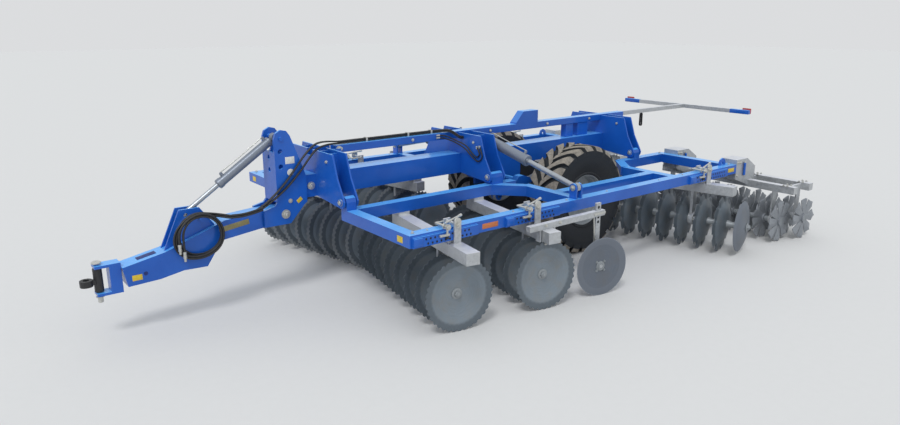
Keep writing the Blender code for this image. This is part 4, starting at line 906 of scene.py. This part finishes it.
def make_gang(gang):
    """The discs of a gang, its spools and its end nuts."""
    body = "disc_gang_" + gang.name
    shape, uv = disc_shape()
    rim = DEEP_RIM if gang.rear else FINE_RIM
    for k in range(gang.count):
        place = axes_along(gang.at(k * gang.gap), gang.at(k * gang.gap + 1))
        add_disc(shape, uv, place @ Matrix.Rotation(DISC_STAGGER * k, 4, "Z"), DISC_R, gang.dish, rim)
    both("disc_set_" + gang.name, shape, STEEL, body, (body,))
    shape = bmesh.new()
    places = [k * gang.gap for k in range(gang.count)]
    if gang.rear:
        places.insert(0, -gang.gap)
    for here, after in zip(places, places[1:]):
        start = here + DISC_THICK
        length = after - start
        profile = ((0, 0), (SPOOL_R, 0), (SPOOL_R, 0.012), (0.033, 0.030), (0.030, length / 2),
                   (0.033, length - 0.030), (SPOOL_R, length - 0.012), (SPOOL_R, length), (0, length))
        add_turned(shape, profile, axes_along(gang.at(start), gang.at(after)), 28)
    for reach, way in ((places[0], -1), (places[-1] + DISC_THICK, 1)):
        start = gang.at(reach)
        outwards = gang.along * way
        washer = ((0, 0), (0.046, 0), (0.046, 0.005), (0.040, 0.008), (0, 0.008))
        add_turned(shape, washer, facing(start, outwards), 28)
        add_bolt(shape, start + outwards * 0.008, outwards, 0.050, 0.020, False)
    both("spools_" + gang.name, shape, RIM, body)
    if gang.rear:
        shape, uv = disc_shape()
        place = axes_along(gang.at(-gang.gap), gang.at(1 - gang.gap))
        add_disc(shape, uv, place, PLAIN_DISC_R, gang.dish, PLAIN_RIM)
        both("end_disc", shape, PALE_STEEL, body)


def make_furrow_disc():
    """The plain furrow disc with its hub, cap and bolts."""
    across = Vector((sin(FURROW_TURN), cos(FURROW_TURN), 0))
    place = facing(FURROW_HUB, across)
    face = FURROW_FACE
    shape, uv = disc_shape()
    add_disc(shape, uv, place @ Matrix.Translation((0, 0, face)), PLAIN_DISC_R, DISC_DISH / 2, PLAIN_RIM)
    both("furrow_blade", shape, PALE_STEEL, "furrow_disc", ("furrow_disc",))
    shape = bmesh.new()
    add_turned(shape, ((0.020, 0.045), (0.045, 0.045), (0.045, face), (0.020, face)), place, 28)
    add_turned(shape, ((0.045, 0.077), (0.045, 0.082), (0.034, 0.086), (0.034, 0.095),
                       (0.020, 0.095)), place, 28)
    for k in range(4):
        spot = place @ around(0.058, pi / 4 + pi / 2 * k, 0.0785)
        add_bolt(shape, spot, across, 0.018, 0.008)
    both("furrow_hub", shape, RIM, "furrow_disc")


# Star rollers


def add_star(shape, place, radius):
    """A star of folded petals: each has a raised middle line and edges bent back."""
    half = STAR_WALL / 2
    # a petal's radius, half width, height of its middle line and edges, and how far these end short
    section = ((STAR_HUB_R * 0.9, 0.020, 0.0, 0.0, 0.0), (0.078, 0.030, 0.004, 0.0, 0.0),
               (0.130, 0.046, 0.009, -0.004, 0.0), (0.185, 0.062, 0.012, -0.008, 0.0),
               (0.212, 0.067, 0.013, -0.009, 0.0), (radius, 0.030, 0.010, -0.003, 0.012))
    for k in range(PETALS):
        angle = 2 * pi * k / PETALS
        out = around(1, angle)
        side = Vector((-sin(angle), cos(angle), 0))
        rows = []
        for reach, width, middle, edge, short in section:
            end = out * (reach - short)
            rows.append([end - side * width + Z_AXIS * edge, out * reach + Z_AXIS * middle,
                         end + side * width + Z_AXIS * edge])
        layers = []
        for shift in (-half, half):
            layers.append([[shape.verts.new(place @ (point + Z_AXIS * shift)) for point in row]
                           for row in rows])
        bottom, top = layers
        for low in range(len(rows) - 1):
            high = low + 1
            for c in (0, 1):
                shape.faces.new((top[low][c], top[high][c], top[high][c + 1], top[low][c + 1]))
                shape.faces.new((bottom[low][c + 1], bottom[high][c + 1], bottom[high][c], bottom[low][c]))
            shape.faces.new((bottom[low][0], bottom[high][0], top[high][0], top[low][0]))
            shape.faces.new((top[low][2], top[high][2], bottom[high][2], bottom[low][2]))
        for c in (0, 1):
            shape.faces.new((bottom[0][c], top[0][c], top[0][c + 1], bottom[0][c + 1]))
            shape.faces.new((bottom[-1][c + 1], top[-1][c + 1], top[-1][c], bottom[-1][c]))
    hub = ((ROLLER_AXLE_R, -0.025), (STAR_HUB_R, -0.025), (STAR_HUB_R, -0.006), (0.085, -0.005),
           (0.085, 0.005), (STAR_HUB_R, 0.006), (STAR_HUB_R, 0.025), (ROLLER_AXLE_R, 0.025))
    add_turned(shape, hub, place, 28)


def make_roller(name, x, outer, inner):
    """An axle with its stars."""
    gap = (outer - inner) / (STAR_COUNT - 1)
    body = "star_roller_" + name
    shape = bmesh.new()
    for k in range(STAR_COUNT):
        place = facing((x, outer - gap * k, ROLLER_R), Y_AXIS)
        add_star(shape, place @ Matrix.Rotation(STAR_STAGGER * k, 4, "Z"), ROLLER_R - 0.001)
    both("stars_" + name, shape, STAR_STEEL, body)
    shape = bmesh.new()
    low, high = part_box(body + "_left")
    add_rod(shape, (x, low.y + 0.004, ROLLER_R), (x, high.y - 0.004, ROLLER_R), ROLLER_AXLE_R, 28)
    for y, way in ((low.y + 0.002, -1), (high.y - 0.002, 1)):
        centre = Vector((x, y - way * ROLLER_COLLAR, ROLLER_R))
        add_rod(shape, centre, centre + Y_AXIS * way * ROLLER_COLLAR, ROLLER_AXLE_R + 0.006, 28)
    both("roller_shaft_" + name, shape, RIM, body, (body,))


# Wheels


def carcass_radius(y):
    """The tyre's radius under the lugs at a distance from its middle."""
    share = min(1, abs(y) / TYRE_HALF)
    return CARCASS_R - 0.030 * share ** 3.2


def make_tyre():
    """A carcass with beads and shoulders, and lugs that meet in a chevron."""
    shape = bmesh.new()
    dust = shape.loops.layers.color.new("dust")
    place = facing(WHEEL, Y_AXIS)
    side = ((0.271, 0.140), (0.276, 0.156), (0.290, 0.160), (0.300, 0.150), (0.330, 0.160), (0.380, 0.178),
            (0.430, 0.1855), (0.470, 0.1865), (0.500, 0.184), (0.520, SHOULDER_HALF))
    profile = [(radius, -across) for radius, across in side]
    for k in range(1, TREAD_STEPS):
        y = -SHOULDER_HALF + 2 * SHOULDER_HALF * k / TREAD_STEPS
        profile.append((carcass_radius(y), y))
    profile += [(radius, across) for radius, across in reversed(side)]
    profile.append(profile[0])
    add_turned(shape, profile, place, 96)
    for face in shape.faces:
        for loop in face.loops:
            level = 0.16 if (loop.vert.co - WHEEL).length < DUSTY_R else 0
            loop[dust] = (level, level, level, 1)
    for hand in (-1, 1):
        for k in range(LUGS):
            base = 2 * pi * (k + (0.5 if hand > 0 else 0)) / LUGS
            add_lug(shape, dust, place, base, hand)
    bmesh.ops.remove_doubles(shape, verts=shape.verts, dist=MERGE)
    both("lugged_tyre", shape, TREAD, "wheel", ("tyre",))


def add_lug(shape, dust, place, base, hand):
    """One lug from the shoulder to the middle of the tread, leaning forwards."""
    rings = []
    outer = TYRE_HALF - 0.002
    for step in range(LUG_STEPS + 1):
        share = step / LUG_STEPS
        y = hand * (outer - share * (outer + 0.012))
        lean = LUG_LEAN * share - 0.05 * sin(pi * share)
        half_top = 0.056 - 0.022 * share
        half_low = half_top + 0.010
        top = TYRE_R - 0.001 - 0.022 * max(0.0, (abs(y) - 0.13) / 0.06) ** 2
        low = carcass_radius(y) - 0.006
        foot = y
        if step == 0:
            low = 0.470
            top = 0.528
            foot = hand * (TYRE_HALF - 0.005)
        corners = ((low, -half_low, foot), (top, -half_top, y), (top, half_top, y), (low, half_low, foot))
        ring = []
        for radius, half, across in corners:
            spot = around(radius, base + lean + half / TYRE_R, across)
            ring.append(shape.verts.new(place @ spot))
        rings.append(ring)
    faces = []
    for low, high in zip(rings, rings[1:]):
        for c in range(4):
            after = (c + 1) % 4
            faces.append((shape.faces.new((low[c], low[after], high[after], high[c])), c == 1))
    faces.append((shape.faces.new(list(reversed(rings[0]))), False))
    faces.append((shape.faces.new(rings[-1]), False))
    for face, top in faces:
        level = 0.95 if top else 0.10
        for loop in face.loops:
            loop[dust] = (level, level, level, 1)
    if hand > 0:
        bmesh.ops.reverse_faces(shape, faces=[face for face, _ in faces])


def make_rim():
    """A ribbed rim with flanges, a dished centre, wheel bolts and a hub cap."""
    shape = bmesh.new()
    place = facing(WHEEL, Y_AXIS)
    barrel = ((0.269, -0.149), (0.269, -0.135), (0.262, -0.120), (0.262, -0.060), (0.250, -0.040),
              (0.250, 0.040), (0.262, 0.060), (0.262, 0.120), (0.269, 0.135), (0.269, 0.149),
              (0.262, 0.1495), (0.256, 0.140), (0.249, 0.118), (0.249, 0.098), (0.241, 0.090),
              (0.241, 0.066), (0.236, 0.058), (0.236, 0.020), (0.215, 0.006), (0.150, 0.000),
              (0.105, -0.010), (0.090, -0.010), (0.088, -0.020), (0.150, -0.012), (0.215, -0.006),
              (0.236, -0.030), (0.240, -0.120), (0.256, -0.140), (0.262, -0.149), (0.269, -0.149))
    add_turned(shape, barrel, place, 72)
    hub = ((0.036, -0.090), (0.084, -0.090), (0.084, -0.020), (0.095, -0.018), (0.095, 0.004),
           (0.070, 0.010), (0.060, 0.050), (0.056, 0.078), (0.036, 0.0895))
    add_turned(shape, hub, place, 48)
    both("wheel_rim", shape, RIM, "wheel", ("rim",))
    shape = bmesh.new()
    for k in range(WHEEL_NUTS):
        spot = place @ around(0.125, 2 * pi * k / WHEEL_NUTS, -0.003)
        add_bolt(shape, spot, Y_AXIS, 0.026, 0.016)
    both("wheel_nuts", shape, BOLT, "wheel")


# Frames' small parts


def make_clamps():
    """The straps' heads, their cross pins and nuts, the pin with its foot and the lever."""
    shape = bmesh.new()
    feet = bmesh.new()
    head_z = STRAP_TOP - 0.003
    pin_z = STRAP_TOP - 0.024
    pin_y = ANGLE_FACE + 0.014
    for row in GANGS:
        gang = Gang(row)
        x = gang.at(gang.reach(OUTER_LINE)).x
        pin_x = x + 0.105
        face = STRAP_FACE + 0.0004
        add_rod(shape, (x, STRAP_FACE - 0.0155, head_z), (x, STRAP_FACE + 0.0005, head_z), STRAP_HALF, 32)
        add_bolt(shape, (x, face, pin_z), Y_AXIS, 0.034, 0.014)
        add_bolt(shape, (x, face, 0.70), Y_AXIS, 0.028, 0.012)
        add_rod(shape, (pin_x, WING_OUT - TUBE - 0.010, pin_z), (pin_x, pin_y + 0.012, pin_z), 0.012, 20)
        add_bolt(shape, (pin_x, pin_y + 0.010, pin_z), Y_AXIS, 0.036, 0.014)
        add_rod(shape, (pin_x, pin_y, STRAP_TOP - 0.020), (pin_x, pin_y, 0.792), 0.009, 20)
        add_box(shape, (pin_x - 0.020, pin_y - 0.012, 0.800), (pin_x + 0.075, pin_y + 0.012, 0.818), 0.004)
        add_rod(feet, (pin_x, pin_y, 0.798), (pin_x, pin_y, 0.775), 0.013, 20)
        start = Vector((pin_x + 0.015, pin_y - 0.01, STRAP_TOP + 0.008))
        end = Vector((pin_x - 0.150, pin_y - 0.045, STRAP_TOP + 0.030))
        add_rod(shape, start, end, 0.0085, 20)
        add_rod(shape, end, end + (end - start).normalized() * 0.03, 0.012, 20)
        collar = Vector((pin_x, WING_OUT - 0.01, pin_z))
        add_rod(shape, collar, collar + Y_AXIS * 0.018, 0.022, 28)
        add_rod(shape, (x, 1.375, pin_z), (x + 0.11, 1.375, pin_z), 0.008, 16)
    both("clamps", shape, BOLT, "wing")
    both("clamp_feet", feet, IRON, "wing")


def add_hole(shape, centre, radii, rise):
    """A hole drawn as a low disc in painted shade, with a raised rim, on a face that looks along Y."""
    bore, inner, outer, foot = radii
    profile = ((0, 0.0002), (bore, 0.0002), (inner, rise), (outer, rise), (foot, 0))
    add_turned(shape, profile, facing(centre, Y_AXIS), 20)


def make_angle_holes():
    """Two rows of holes in each angle plate, the welded end block and the weld beads."""
    shape = bmesh.new()
    blocks = bmesh.new()
    bead_y = ANGLE_FACE - 0.018
    for front, rear in ANGLE_PLATES:
        end = front - 0.004
        for k in range(int((front - rear - 0.14) / HOLE_PITCH)):
            x = front - 0.12 - HOLE_PITCH * k
            for z, lean in HOLE_ROWS:
                add_hole(shape, (x + lean, ANGLE_FACE, z), (0.0072, 0.0080, 0.0088, 0.0094), 0.0008)
        add_box(blocks, (front - 0.085, ANGLE_FACE - 0.004, 0.760), (end, ANGLE_FACE + 0.008, 0.824), 0.004)
        for edge in (0.8325, 0.7490):
            add_rod(blocks, (rear + 0.004, bead_y, edge), (end, bead_y, edge), 0.004, 8)
    both("angle_holes", shape, HOLE_SHADE, "wing")
    both("angle_blocks", blocks, BLUE, "wing")


def make_cylinder(name, body, eye, far, radius, length, rod_radius, rod_back, side, up):
    """A cylinder's honed barrel, gland, end cap, ports and pipe, and its rod's chrome."""
    eye = Vector(eye)
    far = Vector(far)
    place = axes_along(eye, far)
    along = (far - eye).normalized()
    inner = radius - 0.004
    outer = radius + SLEEVE
    sleeve = ((inner, 0.056), (outer, 0.060), (outer, length - 0.001), (inner, length - 0.0005))
    shape = bmesh.new()
    add_turned(shape, sleeve, place, 48)
    single(name + "_barrel_sleeve", shape, SILVER, body)
    reach = (far - eye).length - ROD_EYE_SPACE
    inner = rod_radius - 0.003
    outer = rod_radius + SLEEVE
    sleeve = ((inner, rod_back + 0.001), (outer, rod_back + 0.003), (outer, reach), (inner, reach + 0.002))
    shape = bmesh.new()
    add_turned(shape, sleeve, place, 40)
    single(name + "_rod_sleeve", shape, CHROME, body.replace("barrel", "rod"))
    side = Vector(side).normalized()
    rise = Vector(up) - along * Vector(up).dot(along)
    rise.normalize()
    shape = bmesh.new()
    gland = ((radius, 0), (radius + 0.0045, 0.002), (radius + 0.0045, 0.036), (radius + 0.001, 0.041),
             (rod_radius + 0.006, 0.0415), (rod_radius + 0.004, 0.046), (rod_radius + 0.001, 0.046))
    add_turned(shape, gland, facing(eye + along * (length - 0.040), along), 40)
    cap = ((radius, 0.0), (radius + 0.004, 0.002), (radius + 0.004, 0.020), (radius, 0.024))
    add_turned(shape, cap, facing(eye + along * 0.052, along), 40)
    back = eye + along * 0.085
    front = eye + along * (length - 0.075)
    for port in (back, front):
        add_rod(shape, port + rise * (radius - 0.006), port + rise * (radius + 0.016), 0.014, 24)
        add_bolt(shape, port + rise * (radius + 0.014), rise, 0.026, 0.012, False)
    single(name + "_fittings", shape, SILVER, body)
    high = radius + 0.024
    line = (back + rise * (high + 0.004), back + rise * high + along * 0.03 + side * 0.014,
            (back + front) / 2 + rise * (high - 0.004) + side * 0.016,
            front + rise * high - along * 0.03 + side * 0.014, front + rise * (high + 0.004))
    points = [moved_in(point) for point in smooth_line(line, 8)]
    tube_curve(name + "_pipe", points, 0.010, BOLT, body)


def make_wing_bolts():
    """The fold pins' nuts, and bolts along the outer tube and at the corners."""
    shape = bmesh.new()
    for way in (1, -1):
        add_bolt(shape, (FOLD_X + way * FOLD_LUG_HALF, OUTER_LINE, FOLD_PIN_Z), X_AXIS * way, 0.040, 0.012)
    for x in (-0.20, -1.10, -1.75, -2.30, -3.10, -3.50):
        add_bolt(shape, (x, OUTER_LINE, WING_TOP), Z_AXIS, 0.014, 0.006)
    for y in (OUTER_LINE, INNER_LINE):
        for x in (-0.06, -4.37):
            add_bolt(shape, (x, y, WING_TOP), Z_AXIS, 0.022, 0.010)
    both("wing_bolts", shape, BOLT, "wing")


def make_beam_bolts():
    """Bolts that hold each gang beam to the wing's tubes, and the hangers' bolts."""
    shape = bmesh.new()
    for row in GANGS:
        gang = Gang(row)
        for y in (OUTER_LINE, INNER_LINE):
            centre = gang.at(gang.reach(y), BEAM_UNDER)
            for across in (-0.038, 0.038):
                for shift in (0.02, -0.02):
                    spot = centre + gang.across * across + gang.along * shift
                    add_bolt(shape, spot, -Z_AXIS, 0.022, 0.010)
        shift = REAR_HANGER_SHIFT if gang.rear else HANGER_SHIFT
        for space in (2, 6) if gang.rear else (1, 4):
            reach = gang.gap * space + shift
            for across in (-0.042, 0.042):
                for way in (-1, 1):
                    spot = gang.at(reach + way * BEARING_HALF, DISC_R) + gang.across * across
                    add_bolt(shape, spot, gang.along * way, 0.020, 0.008, False)
    both("gang_bolts", shape, BOLT, "wing")


def make_chassis_bolts():
    """Bolt heads on the mast, the rail, the portals and the beam."""
    shape = bmesh.new()
    for side in (-1, 1):
        add_bolt(shape, (0.30, side * MAST_HALF, 0.90), Y_AXIS * side, 0.028, 0.012)
    for x in (-0.26, -1.05, -2.05, -2.90, -3.60):
        for side in (1, -1):
            add_bolt(shape, (x, side * RAIL_HALF, RAIL_Z), Y_AXIS * side, 0.022, 0.010)
    for front, rear in PORTAL_FACES:
        for side in (-1, 1):
            for x, way in ((front, 1), (rear, -1)):
                add_bolt(shape, (x, side * HINGE_Y, HINGE_Z), X_AXIS * way, 0.044, 0.014)
                add_bolt(shape, (x, side * 0.30, 1.235), X_AXIS * way, 0.022, 0.010)
    single("chassis_bolts", shape, BOLT, "chassis")


def add_plate(shape, centre, normal, along, width, height):
    """A thin blank plate on a face."""
    normal = Vector(normal).normalized()
    along = Vector(along).normalized()
    rise = normal.cross(along)
    turn = Matrix((along, rise, normal)).transposed().to_4x4()
    turn.translation = Vector(centre)
    add_box(shape, (-width / 2, -height / 2, 0), (width / 2, height / 2, PLATE_THICK), 0.0004, turn)


def make_plates():
    """Blank coloured plates where the machine carries its labels."""
    shape = bmesh.new()
    add_plate(shape, (0, 1.36, 0.797), X_AXIS, Y_AXIS, 0.075, 0.050)
    add_plate(shape, (-4.345, WING_OUT, 0.800), Y_AXIS, X_AXIS, 0.12, 0.044)
    both("yellow_plates", shape, YELLOW, "wing")
    shape = bmesh.new()
    add_plate(shape, (-0.80, WING_OUT, 0.797), Y_AXIS, X_AXIS, 0.17, 0.044)
    both("orange_plates", shape, ORANGE, "wing")
    for name, side in SIDES:
        out = Y_AXIS * side
        shape = bmesh.new()
        add_plate(shape, (1.60, side * DRAWBAR_HALF, 0.480), out, X_AXIS, 0.075, 0.045)
        single("drawbar_plate_" + name, shape, YELLOW, "drawbar")
        shape = bmesh.new()
        x, z = LONG_PLATE
        add_plate(shape, (x, side * DRAWBAR_HALF, z), out, LONG_PLATE_ALONG, 0.26, 0.046)
        single("drawbar_long_plate_" + name, shape, OLIVE, "drawbar")
        shape = bmesh.new()
        add_plate(shape, (0.285, side * MAST_HALF, 1.255), out, X_AXIS, 0.085, 0.060)
        place = facing((0.285, side * MAST_HALF, 1.150), out)
        add_turned(shape, ((0, 0), (0.030, 0), (0.030, 0.0010), (0, PLATE_THICK)), place, 36)
        single("mast_plate_" + name, shape, WHITE, "chassis")
    shape = bmesh.new()
    add_plate(shape, (0.215, MAST_HALF, 0.895), Y_AXIS, (0.8, 0, -0.6), 0.052, 0.034)
    single("mast_small_plate", shape, YELLOW, "chassis")


def make_drawbar_details():
    """The recess in the drawbar's top and its side hole, drawn as thin plates in painted shade, the hitch
    pin and the mast's large bolts.
    """
    shape = bmesh.new()
    add_plate(shape, (1.50, 0, 0.6171), (0.19, 0, 0.98), (0.98, 0, -0.19), 0.150, 0.070)
    for side in (-1, 1):
        place = facing((1.535, side * (DRAWBAR_HALF + 0.0002), 0.500), Y_AXIS * side)
        add_turned(shape, ((0, 0), (0.013, 0), (0.015, 0.001), (0.017, 0)), place, 24)
    single("drawbar_recess_shade", shape, RECESS_SHADE, "drawbar")
    shape = bmesh.new()
    low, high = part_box("hitch_yoke")
    head = ((0, 0), (0.036, 0), (0.036, 0.008), (0.026, 0.014), (0, 0.014))
    add_turned(shape, head, facing((HITCH_X, 0, high.z), Z_AXIS), 28)
    tail = ((0, 0), (0.030, 0), (0.030, 0.006), (0.020, 0.010), (0.020, 0.045), (0.016, 0.050), (0, 0.050))
    add_turned(shape, tail, facing((HITCH_X, 0, low.z), -Z_AXIS), 28)
    single("hitch_pin", shape, BOLT, "drawbar")
    shape = bmesh.new()
    for side in (-1, 1):
        add_bolt(shape, (0.351, side * MAST_HALF, 0.790), Y_AXIS * side, 0.056, 0.018)
        add_bolt(shape, (0.085, side * 0.10, 1.000), Y_AXIS * side, 0.050, 0.016)
        add_bolt(shape, (-0.235, side * RAIL_HALF, RAIL_Z), Y_AXIS * side, 0.040, 0.014)
    single("mast_bolts", shape, BOLT, "chassis")


def make_furrow_fittings():
    """The furrow arm's clamp bolts, the holes in its stem and its brace."""
    shape = bmesh.new()
    holes = bmesh.new()
    stem_x = FURROW_HUB.x
    stem_face = 1.665
    for x in (-1.255, -1.42):
        for z in (0.60, 0.752):
            add_bolt(shape, (x, 1.68, z), Y_AXIS, 0.022, 0.010)
    for z in (0.80, 0.755, 0.71, 0.665):
        add_hole(holes, (stem_x, stem_face, z), (0.0085, 0.0105, 0.0130, 0.0140), 0.0012)
    add_bolt(shape, (stem_x, stem_face, 0.745), Y_AXIS, 0.030, 0.012)
    add_box(shape, (stem_x - 0.075, 1.625, 0.735), (stem_x + 0.075, 1.685, 0.757), 0.003)
    add_rod(shape, (-1.86, 1.672, 0.740), (-1.895, 1.672, 0.40), 0.007, 16)
    both("furrow_bolts", shape, BOLT, "wing")
    both("furrow_holes", holes, HOLE_SHADE, "wing")


def make_tail_fittings():
    """The brackets' blue spring cylinders, their bolts and the cross tubes' U-bolts."""
    blue = bmesh.new()
    shape = bmesh.new()
    for y in (1.49, 0.72):
        spring_y = y + 0.014
        add_rod(blue, (SPRING_X, spring_y, 0.855), (SPRING_X, spring_y, 0.715), 0.0135, 24)
        add_rod(shape, (SPRING_X, spring_y, 0.868), (SPRING_X, spring_y, 0.855), 0.010, 20)
        add_rod(shape, (SPRING_X, spring_y, 0.715), (SPRING_X, spring_y, 0.700), 0.008, 20)
        for x, z in ((-4.475, 0.865), (-4.475, 0.72), (-4.52, 0.865)):
            add_bolt(shape, (x, y + 0.0002, z), Y_AXIS, 0.024, 0.010)
    for y in (0.42, 1.40, 1.94):
        for _, axle_x, _, _ in ROLLERS:
            for x in (axle_x + 0.04, axle_x - 0.04):
                for across in (-0.022, 0.022):
                    add_bolt(shape, (x, y + across, 0.645), Z_AXIS, 0.022, 0.010)
    both("spring_units", blue, BLUE, "wing")
    both("tail_bolts", shape, BOLT, "wing")


def make_lamps():
    """Ribbed lamp lenses in their housings, the bar's blue ends and the spare cable's tie."""
    for name, side in SIDES:
        low, high = [corner - X_AXIS * MODEL_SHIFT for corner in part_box("lamp_" + name)]
        shape = bmesh.new()
        add_box(shape, low + Vector((0, 0.004, 0.004)), high - Vector((0.014, 0.004, 0.004)), 0.006)
        single("lamp_lens_" + name, shape, RED, "chassis", ("lamp_" + name,))
        shape = bmesh.new()
        add_box(shape, (high.x - 0.015, low.y, low.z), high, 0.004)
        single("lamp_housing_" + name, shape, RED, "chassis")
        shape = bmesh.new()
        inner, outer = sorted((side * 0.70, side * 0.9565))
        add_box(shape, (-5.5705, inner, 1.2695), (-5.5195, outer, 1.3205), 0.004)
        single("bar_end_" + name, shape, BLUE, "chassis")
    shape = bmesh.new()
    add_box(shape, (CABLE_X - 0.012, -0.0175, 1.188), (CABLE_X + 0.012, 0.0175, 1.196), 0.002)
    single("hank_tie", shape, IRON, "chassis")


def make_hose_clips():
    """Straps that hold the hose bundle on the rail."""
    shape = bmesh.new()
    for x in (-0.55, -1.02, -1.30):
        rear = x - 0.010
        front = x + 0.010
        add_box(shape, (rear, -0.026, 1.320), (front, 0.026, 1.322), 0.0008)
        for y in (-0.0225, 0.0195):
            add_box(shape, (rear, y, 1.320), (front, y + 0.003, 1.356), 0.0008)
        add_box(shape, (rear, -0.0225, 1.353), (front, 0.0225, 1.356), 0.0008)
    single("hose_clips", shape, BOLT, "chassis")


# Kept nodes


def dress_nodes():
    """Give the kept nodes their finish and broken edges."""
    # single nodes, nodes with a left and a right one, look, width of the edges
    rows = (
        ("main_beam front_portal middle_portal rear_portal top_rail mast drawbar axle", "wing_frame",
         BLUE, 0.004),
        ("light_bar", "gang_beam_1 gang_beam_2 gang_beam_3 furrow_arm tail_frame", ZINC, 0.0035),
        ("hitch_yoke", "", BLUE, 0.003),
        ("hitch_eye", "", IRON, 0.003),
        ("draw_barrel lift_barrel", "fold_barrel", SILVER, 0.002),
        ("draw_rod lift_rod", "fold_rod", CHROME, 0.0015),
    )
    for singles, pairs, look, width in rows:
        sided = [name + side for name in pairs.split() for side in ("_left", "_right")]
        for name in singles.split() + sided:
            kept = NODES[name]
            kept.data.materials.clear()
            kept.data.materials.append(look)
            weld = kept.modifiers.new("weld", "WELD")
            weld.merge_threshold = MERGE
            soft = kept.modifiers.new("edges", "BEVEL")
            soft.width = width
            soft.segments = 2
            soft.limit_method = "ANGLE"
            soft.angle_limit = radians(35)
            soft.harden_normals = False
            soft.use_clamp_overlap = True


# Studio


def make_floor():
    """A pale floor that reaches far beyond the picture."""
    mesh = bpy.data.meshes.new("studio_floor")
    corners = [(x * FLOOR_HALF, y * FLOOR_HALF, 0) for x, y in ((-1, -1), (1, -1), (1, 1), (-1, 1))]
    mesh.from_pydata(corners, [], [(0, 1, 2, 3)])
    floor = bpy.data.objects.new("studio_floor", mesh)
    bpy.context.scene.collection.objects.link(floor)
    floor.data.materials.append(paper_floor())


def make_light():
    """An even sky that is brighter overhead, a plain backdrop and one broad soft lamp."""
    world = bpy.data.worlds.new("studio_world")
    bpy.context.scene.world = world
    world.use_nodes = True
    nodes = world.node_tree.nodes
    link = world.node_tree.links.new
    sky = nodes["Background"]
    sky.inputs["Color"].default_value = SKY
    height = nodes.new("ShaderNodeSeparateXYZ")
    link(nodes.new("ShaderNodeTexCoord").outputs["Generated"], height.inputs["Vector"])
    level = nodes.new("ShaderNodeMapRange")
    level.inputs["To Min"].default_value = HORIZON_LEVEL
    level.inputs["To Max"].default_value = ZENITH_LEVEL
    link(height.outputs["Z"], level.inputs["Value"])
    link(level.outputs["Result"], sky.inputs["Strength"])
    seen = nodes.new("ShaderNodeBackground")
    seen.inputs["Color"].default_value = (*BACKDROP, 1)
    seen.inputs["Strength"].default_value = 1
    mix = nodes.new("ShaderNodeMixShader")
    link(nodes.new("ShaderNodeLightPath").outputs["Is Camera Ray"], mix.inputs[0])
    link(sky.outputs[0], mix.inputs[1])
    link(seen.outputs[0], mix.inputs[2])
    link(mix.outputs[0], nodes["World Output"].inputs["Surface"])
    data = bpy.data.lights.new("studio_sun", "SUN")
    data.energy = SUN_LEVEL
    data.angle = SUN_SIZE
    sun = bpy.data.objects.new("studio_sun", data)
    bpy.context.scene.collection.objects.link(sun)
    sun.rotation_euler = SUN_FROM.to_track_quat("Z", "Y").to_euler()
    bpy.context.scene.view_settings.view_transform = "Standard"


make_camera()
make_cords()
hose_bundle()
droop_hoses()
for gang_row in GANGS:
    make_gang(Gang(gang_row))
make_furrow_disc()
for roller_row in ROLLERS:
    make_roller(*roller_row)
make_tyre()
make_rim()
make_clamps()
make_angle_holes()
for cylinder_row in CYLINDERS:
    make_cylinder(*cylinder_row)
make_wing_bolts()
make_beam_bolts()
make_chassis_bolts()
make_plates()
make_drawbar_details()
make_furrow_fittings()
make_tail_fittings()
make_lamps()
make_hose_clips()
dress_nodes()
make_floor()
make_light()
